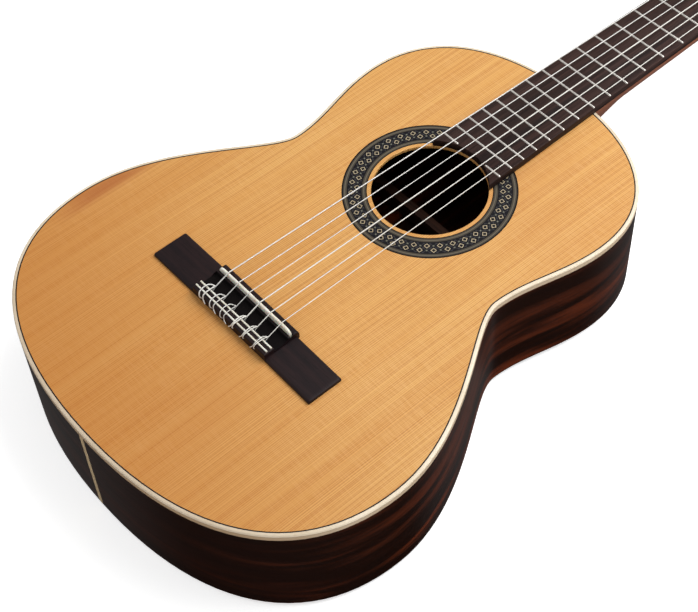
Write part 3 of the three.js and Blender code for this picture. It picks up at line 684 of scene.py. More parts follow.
LINING = {"pitch": 6.2, "block": 5.4, "wide": 5.0, "tall": 13.0}
TAIL_BLOCK = {"half": 37, "to": -140}
NECK_BLOCK = {"half": 28, "from": 300}
LINING_OUT = outline(SIDE_THICK + 0.05, 60)
LINING_IN = outline(SIDE_THICK + LINING["wide"], 60)
walk = np.r_[0, np.cumsum(np.hypot(*np.diff(np.vstack([LINING_OUT, LINING_OUT[:1]]), axis=0).T))]


def along_rim(line, distance):
    """The points of a closed line at these distances round the rim."""
    shut = np.vstack([line, line[:1]])
    return np.column_stack([np.interp(distance, walk, shut[:, k]) for k in (0, 1)])


starts = np.arange(2.0, walk[-1] - LINING["pitch"], LINING["pitch"])
middles = along_rim(LINING_OUT, starts)
aside, lengthways = np.abs(middles[:, 0]), middles[:, 1]
clear_of_blocks = aside > np.where(lengthways < 0, TAIL_BLOCK["half"], NECK_BLOCK["half"])
clear_of_blocks |= (lengthways > TAIL_BLOCK["to"]) & (lengthways < NECK_BLOCK["from"])
starts = starts[clear_of_blocks]
lining_wood = plain_wood("lining_cedar", *SPRUCE_PALE, (60, 60, 300), 0.7)
for lining_name, wall_side in (("top_lining", 1), ("back_lining", -1)):
    corners = []
    for reach in (0.0, LINING["block"]):
        flat_out = along_rim(LINING_OUT, starts + reach)
        flat_in = along_rim(LINING_IN, starts + reach)
        if wall_side > 0:
            base_z = np.full(len(starts), -TOP_THICK - 0.05)
        else:
            base_z = BACK_THICK + 0.05 - edge_depth(flat_out[:, 1])
        corners += [raise_to(flat_out, base_z), raise_to(flat_in, base_z),
                    raise_to(flat_out, base_z - wall_side * LINING["tall"])]
    wedges = np.stack(corners, 1)
    first = 6 * np.arange(len(starts))[:, None]
    sides = [first + np.array(face) for face in ((0, 3, 4, 1), (1, 4, 5, 2), (2, 5, 3, 0))]
    ends = [first + np.array(face) for face in ((0, 1, 2), (3, 5, 4))]
    mesh = bpy.data.meshes.new(lining_name)
    mesh.from_pydata(place(wedges.reshape(-1, 3)).tolist(), [],
                     np.vstack(sides).tolist() + np.vstack(ends).tolist())
    finished(lining_name, mesh, lining_wood, sharp=20)

# ------------------------------------------------------- neck, heel and cap
# One mahogany neck with a flat-bottomed oval section. It grows down into the
# heel over its last 60 mm, squares up where the head is scarfed on, and the
# foot of the heel carries a dark cap level with the back.
NUT_THICK = 5.0
HEAD_Y = SCALE + NUT_THICK
BOARD_AT_12 = 30.5
BOARD_AT_NUT = 25.0
BOARD_UNDER = 0.3
NECK_AT_HEEL = 19.0
NECK_AT_NUT = 15.5
HEAD_THICK = 20.0
SQUARED_OVER = 24
BEYOND_HEEL = 97.0
HALVINGS = 24
BLEND_NORM = 7
# Heel levels: height, half width, and how far it stands out from the body
HEEL = np.array([
    (-4, 28, 40), (-14, 27, 32), (-22, 25, 25), (-34, 21.5, 19.5),
    (-50, 17.5, 17), (-70, 15, 15.5), (-93, 14, 15),
])


def board_half(y):
    """Half width of the fingerboard: a straight taper through the twelfth fret and the nut."""
    return BOARD_AT_12 + (BOARD_AT_NUT - BOARD_AT_12) * (y - SCALE / 2) / (SCALE / 2)


def neck_rings(y, steps=48):
    """Sections across the neck, one for each y.

    Along a ray at angle a below the board, the shaft's radius is that of a superellipse,
    1/((cos a/half)^n + (sin a/deep)^n)^(1/n). The heel's is the furthest point still inside
    (x/half(z))^2 + (out/reach(z))^2 = 1, found by halving. They blend as the 7-norm of both.
    """
    angle = np.linspace(0, np.pi, steps)
    c, s = np.abs(np.cos(angle)), np.sin(angle)
    half = board_half(y)[:, None]
    share = (y - SHOULDER_Y) / (HEAD_Y - SHOULDER_Y)
    head = np.clip((y - HEAD_Y) / SQUARED_OVER + 1, 0, 1)
    head = head * head * (3 - 2 * head)
    deep = (NECK_AT_HEEL + (NECK_AT_NUT - NECK_AT_HEEL) * share)[:, None]
    deep = deep + (HEAD_THICK + 0.4 - deep) * head[:, None]
    power = 2.25 + 7 * head[:, None]
    shaft = ((c / half) ** power + (s / deep) ** power) ** (-1 / power)
    level, wide, reach = HEEL[::-1].T
    out = np.clip(y - SHOULDER_Y, 0, None)[:, None]
    heel, beyond = np.zeros(shaft.shape), np.full(shaft.shape, BEYOND_HEEL)
    for _ in range(HALVINGS):
        radius = (heel + beyond) / 2
        z = -radius * s
        x_share = radius * c / np.interp(z, level, wide)
        inside = (x_share**2 + (out / np.interp(z, level, reach)) ** 2 < 1) & (z > level[0])
        heel, beyond = np.where(inside, radius, heel), np.where(inside, beyond, radius)
    blend = (shaft**BLEND_NORM + heel**BLEND_NORM) ** (1 / BLEND_NORM)
    blend = np.minimum(blend, np.where(s > 0.2, -HEEL[-1, 0] / np.maximum(s, 0.2), 400))
    side = np.minimum(-np.cos(angle) * blend, half)
    ring = np.stack([np.maximum(side, -half), np.broadcast_to(y[:, None], blend.shape),
                     -s * blend], 2)
    top = [np.stack([sign * half[:, 0], y, np.full(len(y), BOARD_UNDER)], 1)[:, None]
           for sign in (1, -1)]
    return np.concatenate([ring, *top], 1)


neck_y = np.r_[SHOULDER_Y - 2, np.linspace(SHOULDER_Y, SHOULDER_Y + 66, 60),
               np.linspace(SHOULDER_Y + 72, HEAD_Y - SQUARED_OVER, 26),
               np.linspace(HEAD_Y - 22, HEAD_Y, 14)]
rings = neck_rings(neck_y)
shut = [np.broadcast_to(np.array([0, y, -6.0]), rings[0].shape)[None] for y in neck_y[[0, -1]]]
mahogany = plain_wood("mahogany_neck", colour(134, 78, 50), colour(102, 56, 36),
                      (240, 7, 240), 0.34, 0.4)
neck = skin("neck_and_heel", np.concatenate([shut[0], rings, shut[1]]), mahogany, sharp=50)
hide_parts("neck")

cap_turn = np.linspace(0, np.pi, 40)
cap_count = len(cap_turn) + 2
# Heel cap levels: height, and how far in its edge is
CAP_LEVELS = ((-92.9, 0.0), (-94.6, 0.0), (-95.15, 0.25), (-95.4, 0.9))
foot_half, foot_out = HEEL[-1, 1:]
cap_rings = [np.column_stack([
    np.append(-(foot_half - inset) * np.cos(cap_turn), (foot_half - inset, inset - foot_half)),
    np.append(SHOULDER_Y + (foot_out - inset) * np.sin(cap_turn), [SHOULDER_Y - 1] * 2),
    np.full(cap_count, z)]) for z, inset in CAP_LEVELS]
cap_ends = [np.tile([[0, SHOULDER_Y + 5, CAP_LEVELS[k][0]]], (cap_count, 1)) for k in (0, -1)]
heel_cap = skin("heel_cap", [cap_ends[0], *cap_rings, cap_ends[1]],
                rosewood_finish("rosewood_cap", "Object", (60, 8, 60)))

# --------------------------------------------------- fingerboard and frets
# A flat dark board with open pores along its length and a lacquered edge,
# slotted for nineteen wires. The last wire is split by the soundhole.
BOARD_TOP = 7.0


def dark_wood(name, pale, dark, grain_scale, roughness, coat):
    """A dense dark wood: long pores, fine and coarse, over slow bands of two browns."""
    made = Finish(name, Coat_Weight=coat, Coat_Roughness=0.25, Specular_IOR_Level=0.16)
    bands = made.cloud(grain_scale, 3, 0.6)
    pores = made.cloud([s * 6 for s in grain_scale], 2, 0.65)
    flecks = made.cloud([s * 14 for s in grain_scale], 1)
    made.tones(bands.ramp(0.34, 0.68), pale, dark)
    made.shade(pores.ramp(0.5, 0.7) * 0.6, tuple(c * 0.4 for c in dark))
    made.shade(flecks.ramp(0.58, 0.74) * 0.35, tuple(c * 1.5 for c in pale))
    made.set(Roughness=roughness + pores * 0.15)
    made.bump(pores, 0.16)
    return made


# Degrees between faces: below the first they are one flat face, and above the second
# their edge is eased
FLAT_UNDER = 0.8
KEEN_OVER = 28


def eased_copy(node, name, finish, ease, segments=2):
    """A frame piece's mesh, copied and merged, its sharp edges rounded over by ease mm."""
    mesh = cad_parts[node].data.copy()
    mesh.materials.clear()
    work = bmesh.new()
    work.from_mesh(mesh)
    bmesh.ops.remove_doubles(work, verts=work.verts, dist=2e-6)
    bmesh.ops.dissolve_limit(work, angle_limit=math.radians(FLAT_UNDER), verts=work.verts,
                             edges=work.edges)
    keen = [edge for edge in work.edges
            if len(edge.link_faces) == 2 and edge.calc_face_angle(0) > math.radians(KEEN_OVER)]
    bmesh.ops.bevel(work, geom=keen, offset=ease / 1000, segments=segments, profile=0.5,
                    affect="EDGES", clamp_overlap=True)
    bmesh.ops.triangulate(work, faces=[f for f in work.faces if len(f.verts) > 4])
    work.to_mesh(mesh)
    work.free()
    made = finished(name, mesh, finish)
    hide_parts(node)
    return made


board_wood = dark_wood("fingerboard_wood", colour(60, 40, 35), colour(32, 20, 18),
                       (170, 5, 170), 0.5, 0.02)
eased_copy("fingerboard", "fingerboard_board", board_wood, 0.35)

FRETS = 19
FRET_HALF_WIDE = 0.85
FRET_TALL = 1.02
FRET_SPLIT = 15.5
nickel = Finish("nickel_silver", Metallic=0.6)
fret_scratch = nickel.cloud((1800, 120, 300), 3)
nickel.tones(fret_scratch, colour(222, 216, 208), colour(246, 242, 236))
nickel.set(Roughness=0.18 + fret_scratch * 0.16)
crown = np.linspace(-1, 1, 13)


def capped(grid, axis=0):
    """A grid of points with a line drawn together to its middle added at both ends."""
    grid = np.asarray(grid, float)
    ends = [np.take(grid, [k], axis) for k in (0, -1)]
    ends = [np.broadcast_to(end.mean(1 - axis, keepdims=True), end.shape) for end in ends]
    return np.concatenate([ends[0], grid, ends[1]], axis)


def fret_wire(node, name, y, x0, x1):
    """A crowned wire: height 1 - |p|^2.4 across it, run in over 1.4 mm at both filed ends."""
    inset = np.array([0.05, 0.15, 0.35, 0.7, 1.1, 1.5])
    filed = np.sqrt(np.linspace(0.02, 1, 6))
    x = np.r_[x0 + inset, x1 - inset[::-1]]
    tall = np.r_[filed, filed[::-1]]
    z = BOARD_TOP + 0.02 + FRET_TALL * tall[:, None] * (1 - np.abs(crown) ** 2.4)
    across = y + crown * FRET_HALF_WIDE * np.minimum(tall + 0.25, 1)[:, None]
    wire_rows = np.stack([np.broadcast_to(x[:, None], z.shape), across, z], 2)
    wire = skin(name, capped(wire_rows), nickel, sharp=60)
    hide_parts(node)


for n in range(1, FRETS):
    fret_y = SCALE * 2 ** (-n / 12)
    fret_wire(f"fret_{n}", f"fret_wire_{n}", fret_y, -board_half(fret_y), board_half(fret_y))
fret_y = SCALE * 2 ** (-FRETS / 12)
fret_wire("fret_19_bass", "fret_wire_19_bass", fret_y, -board_half(fret_y), -FRET_SPLIT)
fret_wire("fret_19_treble", "fret_wire_19_treble", fret_y, FRET_SPLIT, board_half(fret_y))

# ---------------------------------------------------------------- the nut
# A bone bar in the gap between the fingerboard and the head plate, with six
# round notches that the strings lie in.
NUT_TOP = 7.9
STRING_DIAMETERS = (0.71, 0.82, 1.02, 0.74, 0.89, 1.09)
STRING_LIFT = 0.12
SPREAD_SADDLE = 62.2
SPREAD_NUT = 43.0
string_share = 0.5 - np.arange(6) / 5

bone = Finish("bone", Roughness=0.36, Subsurface_Weight=0.08)
bone_cloud = bone.cloud((140, 60, 140), 3)
bone_pore = bone.cloud((1500, 400, 900), 2)
bone.tones(bone_cloud.ramp(0.3, 0.7), colour(246, 242, 230), colour(230, 222, 202))
bone.shade(bone_pore.ramp(0.62, 0.8) * 0.4, colour(176, 158, 124))

nut_x = np.linspace(-BOARD_AT_NUT, BOARD_AT_NUT, 420)
notch = np.zeros_like(nut_x)
for place_share, diameter in zip(string_share, STRING_DIAMETERS):
    away = np.abs(nut_x - place_share * SPREAD_NUT) / (diameter / 2 + 0.1)
    notch = np.maximum(notch, np.sqrt(np.clip(1 - away**2, 0, 1)))
NUT_ROUND = 0.9
ends_down = np.clip((np.abs(nut_x) - BOARD_AT_NUT) / NUT_ROUND + 1, 0, 1) ** 2 * 0.8
crest = NUT_TOP + STRING_LIFT + 0.5 - notch * 0.5 - ends_down
# Each line along the nut: distance from its front face, and how far below the crest,
# or None at its foot
NUT_SECTION = ((0.0, None), (0.0, 0.9), (0.35, 0.25), (1.0, 0.0), (3.2, 0.3), (4.2, 0.9),
               (4.6, 1.7), (4.6, None))
nut_rows = [np.column_stack([
    nut_x, np.full(len(nut_x), SCALE + back),
    np.full(len(nut_x), BOARD_UNDER) if drop is None else crest - drop])
    for back, drop in NUT_SECTION]
nut = skin("bone_nut", capped(nut_rows, 1), bone, around=False, closed=True)
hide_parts("nut")

# ------------------------------------------------------------- the bridge
# A dark rosewood bar glued across the dome: thin wings, and a middle block
# with a slot for the saddle, a trench, and the block that the strings tie to.
BRIDGE_HALF = 91.6
BRIDGE_BACK = -28.1
WING_FRONT = 2.3
WING_THICK = 2.9
BLOCK_HALF = 42.5
BLOCK_TOP = 10.2
SADDLE_Y = -2.4
TIE_BLOCK_FRONT = -18.8
# Section of the middle block from its front foot over the top to its back foot;
# a height of None is the soundboard's own
BLOCK_SECTION = (
    (4.4, None), (4.4, 7.0), (4.25, 8.2), (3.7, 9.3), (2.8, 9.95), (1.8, 10.18), (-0.9, 10.2),
    (-1.05, 10.05), (-1.05, 7.0), (-3.75, 7.0), (-3.75, 10.05), (-3.9, 10.2), (-5.0, 10.2),
    (-5.4, 10.05), (-5.8, 9.6), (-6.3, 7.9), (-6.9, 7.2), (-7.8, 7.0), (-17.7, 7.0), (-18.4, 7.15),
    (-18.8, 7.6), (-18.8, 9.8), (-18.95, 10.1), (-19.25, 10.2), (-27.4, 10.2), (-27.8, 10.1),
    (-28.0, 9.85), (-28.1, 9.4), (-28.1, None),
)
section = np.array([(y, np.nan if z is None else z) for y, z in BLOCK_SECTION])
count = len(section)
wing_share = np.linspace(0, 1, count - 2)
wing_y = WING_FRONT + (BRIDGE_BACK - WING_FRONT) * wing_share
EASED_SHARE = 1 / 22
wing_edges = np.minimum(wing_share, 1 - wing_share) / EASED_SHARE
wing_drop = 0.7 * np.clip(1 - wing_edges, 0, 1) ** 2


def bridge_ring(x, block_share, drop=0.0, ease=0.0):
    """One section across the bridge: wing + block_share (block - wing), point by point.

    drop lowers its top, and ease brings its front and back in, to round the ends.
    """
    wing = np.column_stack([wing_y, top_height(x, wing_y) + WING_THICK - wing_drop - drop])
    wing = np.vstack([(WING_FRONT, 0), wing, (BRIDGE_BACK, 0)])
    tall = np.column_stack([section[:, 0], np.minimum(section[:, 1], BLOCK_TOP - drop)])
    ring = wing + block_share * (np.where(np.isnan(tall), 0, tall) - wing)
    for end in (0, -1):
        ring[end, 1] = top_height(x, ring[end, 0]) + 0.02
    middle_y = (WING_FRONT + BRIDGE_BACK) / 2
    ring[:, 0] = middle_y + (ring[:, 0] - middle_y) * (1 - ease / 15)
    under = np.linspace(ring[-1, 0], ring[0, 0], 7)[1:-1]
    under = np.column_stack([under, top_height(x, under) + 0.02])
    ring = np.vstack([ring, under])
    return np.column_stack([np.full(len(ring), x), ring])


# Stations of one half from the middle out: place, share of block, drop, ease
STATIONS = [(x, 1, 0, 0) for x in np.linspace(0, BLOCK_HALF - 1.2, 9)[1:]]
STATIONS += [(BLOCK_HALF - 0.6, 1, 0.06, 0), (BLOCK_HALF - 0.2, 1, 0.3, 0),
             (BLOCK_HALF, 1, 0.7, 0), (BLOCK_HALF + 0.05, 0, 0, 0)]
STATIONS += [(x, 0, 0, 0) for x in np.linspace(BLOCK_HALF + 2, BRIDGE_HALF - 3, 9)]
STATIONS += [(BRIDGE_HALF - 0.6, 0, 0.03, 0), (BRIDGE_HALF - 0.3, 0, 0.12, 0.05),
             (BRIDGE_HALF - 0.08, 0, 0.35, 0.15), (BRIDGE_HALF, 0, 0.7, 0.3)]
half_rings = [bridge_ring(*station) for station in STATIONS]
rows = [ring * (-1, 1, 1) for ring in half_rings[::-1]] + [bridge_ring(0, 1)] + half_rings
bridge_wood = dark_wood("bridge_rosewood", colour(35, 20, 21), colour(22, 12, 15),
                        (9, 170, 170), 0.42, 0.04)
# Painted shade: the trench between the saddle and the tie block is painted nearly black, rough and
# without coat
TRENCH_Y, TRENCH_HALF, TRENCH_TOP = -12.3, 6.7, 9.9
wood_x, wood_y, wood_z = bridge_wood.place_mm()
painted_shade_trench = (abs(wood_x) < BLOCK_HALF) * (abs(wood_y - TRENCH_Y) < TRENCH_HALF)
painted_shade_trench = painted_shade_trench * (wood_z < TRENCH_TOP)
bridge_wood.shade(painted_shade_trench * 0.9, colour(7, 5, 5))
bridge_wood.set(Roughness=0.48 + painted_shade_trench * 0.5, Coat_Weight=0.04 - painted_shade_trench * 0.04)
bridge = skin("rosewood_bridge", capped(rows), bridge_wood, sharp=48)
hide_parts("bridge")

# A tie hole's painted shadow, a black disc in the block's face: radius, and how far it stands out
# of the block's face
TIE_HOLE_SHADOW_SECTION = ((0.0, -1.0), (0.95, -1.0), (0.95, 0.02), (0.0, 0.02))
HOLE_Z = 7.3
string_x = string_share * SPREAD_SADDLE
hole_turn = np.linspace(0, 2 * np.pi, 12, endpoint=False)
for side_word, face_y in (("front", TIE_BLOCK_FRONT), ("back", BRIDGE_BACK)):
    outward = 1 if side_word == "front" else -1
    for number, x in enumerate(string_x, 1):
        hole_shadow_disc = [np.column_stack([
            x + r * np.cos(hole_turn), np.full(len(hole_turn), face_y + outward * lift),
            HOLE_Z + r * np.sin(hole_turn)]) for r, lift in TIE_HOLE_SHADOW_SECTION]
        skin(f"tie_hole_shadow_{side_word}_{number}", hole_shadow_disc, black)

# ------------------------------------------------- saddle and tie strips
# A bone saddle stands in the slot, its crest rounded and its ends turned
# down. Two cream strips face the tie block where the loops bear on it.
SADDLE_HALF = 41.0
SADDLE_TOP = 14.4
SADDLE_ROUND = 5.0
SADDLE_FOOT = 6.0
saddle_end = np.geomspace(0.06, SADDLE_ROUND, 12)
saddle_x = np.r_[-SADDLE_HALF, saddle_end - SADDLE_HALF, np.linspace(-34, 34, 24),
                 SADDLE_HALF - saddle_end[::-1], SADDLE_HALF]
past = np.clip((np.abs(saddle_x) - SADDLE_HALF + SADDLE_ROUND) / SADDLE_ROUND, 0, 1)
saddle_crest = SADDLE_TOP - 3.8 * (1 - np.sqrt(1 - past**2))
# Across it: distance from its middle line, and how far below the crest, or None at its foot
SADDLE_SECTION = ((1.15, None), (1.15, 1.25), (1.0, 0.62), (0.65, 0.2), (0.2, 0.0), (-0.3, 0.1),
                  (-0.75, 0.48), (-1.05, 1.1), (-1.15, 1.9), (-1.15, None))
saddle_rows = [np.column_stack([
    saddle_x, np.full(len(saddle_x), SADDLE_Y + across),
    np.full(len(saddle_x), SADDLE_FOOT) if below is None else saddle_crest - below])
    for across, below in SADDLE_SECTION]
saddle = skin("bone_saddle", capped(saddle_rows, 1), bone, around=False, closed=True)
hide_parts("saddle")

STRIP_SECTION = ((-0.65, 10.15), (-0.65, 10.7), (-0.5, 10.92), (-0.25, 11.02), (0.25, 11.02),
                 (0.5, 10.92), (0.65, 10.7), (0.65, 10.15))
STRIP_ENDS = (-41.9, 41.3)
for node, strip_at in (("tie_strip_front", -20.3), ("tie_strip_back", -24.6)):
    strip = [[(x, strip_at + across, z) for across, z in STRIP_SECTION] for x in STRIP_ENDS]
    tie_strip = skin(f"{node}_bone", capped(strip), bone)
    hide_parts(node)

# --------------------------------------------------------------- the strings
# Three clear nylon trebles and three silver-wound basses. Each is tied round
# itself behind the bridge, bends over the saddle and the nut, and runs down
# through the head slot to the top of its roller.
HEAD_TILT = math.radians(15)
ROLLER_AT = (58.0, 93.0, 128.0)
ROLLER_Z = -11.5
ROLLER_R = 5.0
ROLLER_STRING_X = (19.5, 17.3, 17.0)


def from_head(points):
    """Points of the head's own frame, whose face is level, tipped back behind the nut."""
    x, y, z = np.moveaxis(np.asarray(points, float), -1, 0)
    c, s = math.cos(HEAD_TILT), math.sin(HEAD_TILT)
    return np.stack([x, HEAD_Y + y * c + z * s, z * c - y * s], -1)


def rounded_path(route, cut, steps=5):
    """A route with each corner replaced by the curve (1-t)^2 A + 2t(1-t) P + t^2 B, where A and
    B lie cut mm from the corner P, or at 0.48 of a shorter leg."""
    route = np.asarray(route, float)
    corner = route[1:-1, None]
    t = np.linspace(0, 1, steps)[None, :, None]
    legs = []
    for other in (route[:-2], route[2:]):
        leg = other - route[1:-1]
        length = np.linalg.norm(leg, axis=1)[:, None]
        legs.append(corner + (leg * np.minimum(cut / length, 0.48))[:, None])
    bend = (1 - t) ** 2 * legs[0] + 2 * t * (1 - t) * corner + t**2 * legs[1]
    return np.vstack([route[:1], bend.reshape(-1, 3), route[-1:]])


def wire(name, path, r, finish, body="root", sides=10):
    """A round wire: circles of radius r square to the path, (cos a) u + (sin a) v, where u is
    the part of the X axis square to the path and v is square to both."""
    path = np.asarray(path, float)
    ahead = np.gradient(path, axis=0)
    ahead /= np.linalg.norm(ahead, axis=1)[:, None]
    across = np.array([1.0, 0, 0]) - ahead * ahead[:, :1]
    across /= np.linalg.norm(across, axis=1)[:, None]
    third = np.cross(ahead, across)
    angle = np.linspace(0, 2 * np.pi, sides, endpoint=False)
    rings = path[:, None] + r * (np.cos(angle)[:, None] * across[:, None]
                                 + np.sin(angle)[:, None] * third[:, None])
    length = np.r_[0, 0, np.cumsum(np.linalg.norm(np.diff(path, axis=0), axis=1))]
    length = np.append(length, length[-1]) / 1000
    return skin(name, capped(rings), finish, body,
                uv=(length, np.linspace(0, 1, sides + 1)), sharp=70)


def machine_of(number):
    """A string's roller counted from the nut, 0 to 2, and its side: 1 treble, -1 bass."""
    return (number - 1, 1) if number <= 3 else (6 - number, -1)


nylon = clouded("clear_nylon", (90, 90, 90), 2, colour(214, 210, 200), colour(238, 236, 230),
                Roughness=0.22)
# Turns of the silver winding in a metre
WINDINGS = 4200
wound = Finish("silver_wound", Metallic=0.55, Roughness=0.34)
wound_turn = wound.parts(wound.place((1, WINDINGS, 1), source="UV"))[1]
wrap = (wound_turn * (2 * math.pi)).wave() * 0.5 + 0.5
tarnish = wound.cloud((30, 30, 30), 2)
wound.tones(tarnish, colour(236, 234, 229), colour(248, 247, 244))
wound.shade(wrap * 0.4, colour(140, 134, 126))
wound.bump(wrap, 0.35)

# Knots as steps from the string's own place: across, along, and height.
# A treble passes under its own loop once and is tucked twice.
TREBLE_KNOT = (
    (0.0, -28.6, 6.8), (0.0, -29.1, 8.6), (0.1, -27.6, 11.0), (0.2, -24.6, 11.5),
    (0.3, -20.3, 11.5), (0.6, -17.6, 11.4), (0.9, -15.9, 10.5), (0.2, -15.3, 9.3),
    (-0.8, -16.2, 9.8), (-1.1, -18.2, 11.3), (-1.2, -20.3, 12.1), (-1.0, -24.0, 12.0),
    (-0.9, -26.9, 11.2), (-1.4, -29.0, 8.7), (-3.6, -29.6, 6.4),
)
BASS_KNOT = (
    (0.0, -28.6, 6.6), (-1.4, -29.4, 8.5), (-2.9, -27.7, 11.0), (-3.6, -24.6, 11.7),
    (-3.7, -20.8, 11.9), (-2.8, -17.9, 11.8), (-0.6, -15.8, 10.3), (0.8, -15.2, 10.0),
    (1.2, -17.0, 11.5), (1.2, -20.3, 11.8), (1.3, -24.6, 11.8), (1.5, -27.8, 10.8),
    (2.9, -29.1, 8.2), (5.6, -29.5, 5.9),
)
for number in range(1, 7):
    r = STRING_DIAMETERS[number - 1] / 2
    at_saddle = string_share[number - 1] * SPREAD_SADDLE
    at_nut = string_share[number - 1] * SPREAD_NUT
    rank, side = machine_of(number)
    body = f"string_roller_{number}"
    barrel_x = side * ROLLER_STRING_X[rank]
    lift = r + STRING_LIFT
    touch = from_head((barrel_x, ROLLER_AT[rank], ROLLER_Z + ROLLER_R + r))
    knot = np.array(TREBLE_KNOT if number <= 3 else BASS_KNOT)[::-1]
    before = np.column_stack([at_saddle + knot[:, 0], knot[:, 1], knot[:, 2] + r])
    # Out of the tie hole, up over the saddle, through the nut's notch and down to the roller
    route = np.vstack([
        before, [(at_saddle, -18.0, 7.3), (at_saddle, -15.4, 9.2),
                 (at_saddle, SADDLE_Y - 1.1, SADDLE_TOP - 0.75 + lift),
                 (at_saddle, SADDLE_Y + 0.2, SADDLE_TOP + lift),
                 (at_nut, SCALE, NUT_TOP + lift),
                 (at_nut, HEAD_Y + 0.2, NUT_TOP - 0.1 + lift)], [touch]])
    string_finish = nylon if number <= 3 else wound
    main = wire(f"string_wire_{number}", rounded_path(route, 1.1), r, string_finish)
    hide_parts(f"string_{number}")

    # Three and a half turns on the roller, laid outwards, or inwards on the one next to the nut
    phase = np.linspace(-0.3, 7 * np.pi, 112)
    orbit = ROLLER_R + r
    coil = np.column_stack([
        barrel_x + side * phase / (2 * np.pi) * (2 * r + 0.06) * (1 if rank else -1),
        ROLLER_AT[rank] + orbit * np.sin(phase), ROLLER_Z + orbit * np.cos(phase)])
    tail = coil[-1] + np.array([(0.4 * side, 0.4, -0.8), (0.8 * side, 1.6, -1.4)])
    coil_path = from_head(np.vstack([coil, tail]))
    turns = wire(f"string_turns_{number}", coil_path, r, string_finish, body)

# ---------------------------------------------------------------- the head
# The neck's mahogany runs on into a slotted head under a rosewood face plate,
# tipped back 15 degrees so that the strings press on the nut.
head_wood = eased_copy("headstock", "head_core", mahogany, 0.6)
plate_wood = rosewood_finish("rosewood_plate", "Object", (110, 4, 110), 0.2)
eased_copy("head_plate", "head_veneer", plate_wood, 0.7)

# ------------------------------------------------------ the tuning machines
# Two gilt side plates hold three machines each. A pearl button turns a worm
# in two arms, and the worm turns a fourteen-toothed wheel on the end of a
# white roller that the string winds on.
HEAD_HALF = 36.5
GEAR = {"tip": 6.2, "pitch_r": 5.7, "root": 4.9, "from": 38.8, "to": 43.0, "teeth": 14}
WORM = {"r": 2.6, "core": 1.75, "shaft": 1.5, "from": -18.0, "to": -5.0}
WORM_X = (GEAR["from"] + GEAR["to"]) / 2
WORM_BEHIND = GEAR["tip"] + WORM["r"] + 0.3
# Half widths of a button's oval; then its outline: height on the shaft, and share of the oval
BUTTON_OVAL = (4.0, 7.5)
BUTTON_LEVELS = (
    (-30.6, 0.0), (-31.0, 0.3), (-32.0, 0.46), (-33.6, 0.62), (-36.0, 0.86), (-38.5, 0.98),
    (-41.0, 1.0), (-44.0, 0.98), (-46.4, 0.88), (-48.0, 0.66), (-48.8, 0.36), (-49.0, 0.0))
gilt = Finish("gilt_brass", Metallic=1.0)
gilt_cloud = gilt.cloud((160, 160, 160), 3)
gilt_brush = gilt.cloud((300, 2400, 300), 2)
gilt.tones(gilt_cloud.ramp(0.3, 0.72), colour(226, 190, 110), colour(196, 152, 78))
gilt.set(Roughness=0.22 + gilt_brush * 0.2)
gilt.bump(gilt_brush, 0.05)
pearl = Finish("pearl_button", Coat_Weight=0.6, Coat_Roughness=0.08)
pearl_swirl = pearl.cloud((90, 90, 150), 3, 0.6, 1.5)
pearl.tones(pearl_swirl.ramp(0.35, 0.65), colour(240, 234, 220), colour(206, 200, 190))
pearl.set(Roughness=0.16 + pearl_swirl * 0.14)


def turned(profile, steps=40, teeth=None):
    """A profile of (r, x) turned about X: (x, r cos a, r sin a). teeth gives r's scale at a."""
    angle = np.linspace(0, 2 * np.pi, steps, endpoint=False)
    r, x = np.array(profile, float).T
    r = np.broadcast_to(r[:, None], (len(r), steps))
    if teeth is not None:
        r = np.where(r > GEAR["root"], r * teeth(angle), r)
    x = np.broadcast_to(x[:, None], r.shape)
    return np.stack([x, r * np.cos(angle), r * np.sin(angle)], 2)


def gear_teeth(angle):
    """A toothed rim, 14 teeth to the turn: 1 at the flat tips, root / tip at the flat roots,
    and a straight flank between."""
    beat = np.abs((angle * GEAR["teeth"] / (2 * np.pi) + 0.25) % 1 - 0.5) * 2
    depth = np.clip((beat - 0.42) / 0.22, 0, 1)
    return 1 - depth * (1 - GEAR["root"] / GEAR["tip"])


def screw_head(r, tall):
    """A domed screw head with a straight slot across it, standing on x = 0."""
    grid = turned([(r, -0.6), (r, tall * 0.35), (r * 0.86, tall * 0.75), (r * 0.6, tall * 0.97),
                   (r * 0.3, tall), (0.0, tall)], 48)
    in_slot = (np.abs(grid[..., 2]) < r * 0.17) & (grid[..., 0] > 0)
    grid[..., 0] -= in_slot * tall * 0.45
    return np.concatenate([grid[:1] * (1, 0, 0), grid])


# One thread: from core to outside radius along z - lead a / 2 pi, with straight flanks
worm_turn = np.linspace(0, 2 * np.pi, 28, endpoint=False)
worm_z = np.linspace(WORM["from"] + 0.1, WORM["to"] - 0.1, 110)
lead = 2 * math.pi * GEAR["pitch_r"] / GEAR["teeth"]
beat = np.abs((worm_turn[None] / (2 * np.pi) - worm_z[:, None] / lead) % 1 - 0.5) * 2
thread = WORM["core"] + (WORM["r"] - WORM["core"]) * np.clip((0.72 - beat) / 0.3, 0, 1)
worm_rows = np.stack([thread * np.cos(worm_turn), thread * np.sin(worm_turn),
                      np.broadcast_to(worm_z[:, None], thread.shape)], 2)


def spindle(levels, around=28):
    """Circles of (r, z) about the worm's axis: (r cos a, r sin a, z), or (u cos a, v sin a, z)
    where r is a pair."""
    angle = np.linspace(0, 2 * np.pi, around, endpoint=False)
    wide = np.array([np.broadcast_to(r, 2) for r, _ in levels], float)
    z = np.array([level for _, level in levels])[:, None]
    return np.stack([wide[:, :1] * np.cos(angle), wide[:, 1:] * np.sin(angle),
                     np.broadcast_to(z, (len(levels), around))], 2)


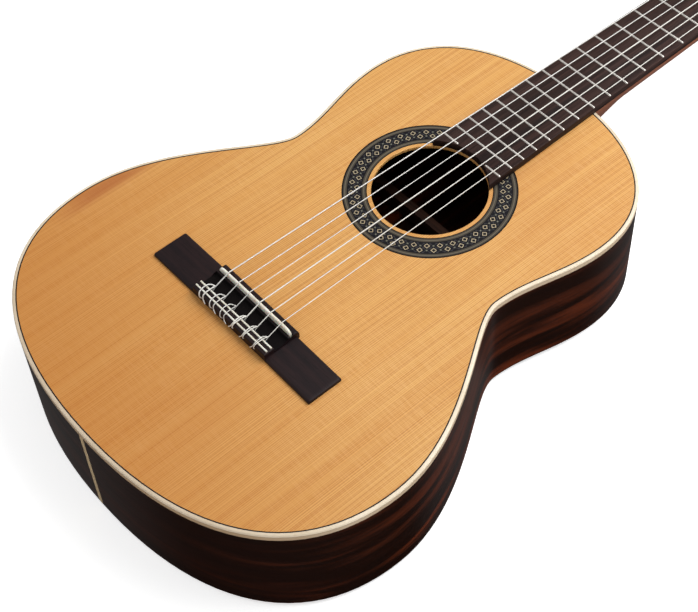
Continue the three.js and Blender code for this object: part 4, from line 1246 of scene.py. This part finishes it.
shaft_top = spindle([(0, -3.0), (1.1, -2.9), (WORM["shaft"], -3.3),
                     (WORM["shaft"], WORM["to"] - 0.1)])
shaft_low = spindle([(WORM["shaft"], WORM["from"] + 0.1), (WORM["shaft"], -29.2), (2.3, -29.6),
                     (2.5, -30.2), (2.2, -31.0), (0, -31.2)])
worm_grid = np.concatenate([shaft_top, worm_rows[::-1], shaft_low])
button_grid = spindle([((BUTTON_OVAL[0] * (0.25 + 0.75 * share) * (share > 0),
                         BUTTON_OVAL[1] * share), z) for z, share in BUTTON_LEVELS], 36)

PLATE_THICK = 1.4
PLATE_SCREW_Y = (46.5, 75.5, 110.5, 134.5)
PLATE_SCREW_Z = -13.5
for side_name, sign in (("bass", -1), ("treble", 1)):
    node = f"tuner_plate_{side_name}"
    eased_copy(node, f"machine_plate_{side_name}", gilt, 0.25, 1)
    for number, y in enumerate(PLATE_SCREW_Y, 1):
        at = (sign * (HEAD_HALF + PLATE_THICK), y, PLATE_SCREW_Z)
        domed = from_head(screw_head(2.1, 0.9) * (sign, 1, 1) + at)
        plate_screw = skin(f"plate_screw_{side_name}_{number}", domed, gilt, sharp=40)

# Outlines of (r, x) from the middle of the head outwards
BARREL_PROFILE = (
    (0, 4), (2.4, 4), (3, 4.5), (3, 10.4), (3.4, 10.6), (4.7, 10.7), (5, 11),
    (5, 23.5), (4.7, 23.8), (3.4, 23.9), (3, 24.1), (3, 38.7), (0, 38.8))
WHEEL_PROFILE = (
    (0, 38.8), (4.5, 38.8), (5.9, 38.8), (6.2, 39.1), (6.2, 42.7), (5.9, 43), (4.5, 43),
    (3.6, 42.7), (0, 42.7))
for number in range(1, 7):
    rank, side = machine_of(number)
    roller_body, knob_body = f"string_roller_{number}", f"tuner_knob_{number}"
    roller_at = (0, ROLLER_AT[rank], ROLLER_Z)
    barrel_grid = turned(BARREL_PROFILE) * (side, 1, 1) + roller_at
    barrel = skin(f"roller_barrel_{number}", from_head(barrel_grid), bone, roller_body)
    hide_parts(f"roller_{number}")
    wheel_grid = turned(WHEEL_PROFILE, GEAR["teeth"] * 12, gear_teeth) * (side, 1, 1) + roller_at
    wheel = skin(f"gear_wheel_{number}", from_head(wheel_grid), gilt, roller_body, sharp=30)
    screw_grid = screw_head(2.4, 1.2) * (side, 1, 1) + np.add(roller_at, (side * 42.6, 0, 0))
    screw = skin(f"gear_screw_{number}", from_head(screw_grid), gilt, roller_body, sharp=40)

    knob_at = (side * WORM_X, ROLLER_AT[rank] - WORM_BEHIND, 0)
    worm = skin(f"worm_{number}", from_head(worm_grid + knob_at), gilt, knob_body, sharp=40)
    button = skin(f"button_{number}", from_head(button_grid + knob_at), pearl, knob_body, sharp=60)
    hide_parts(f"knob_{number}")
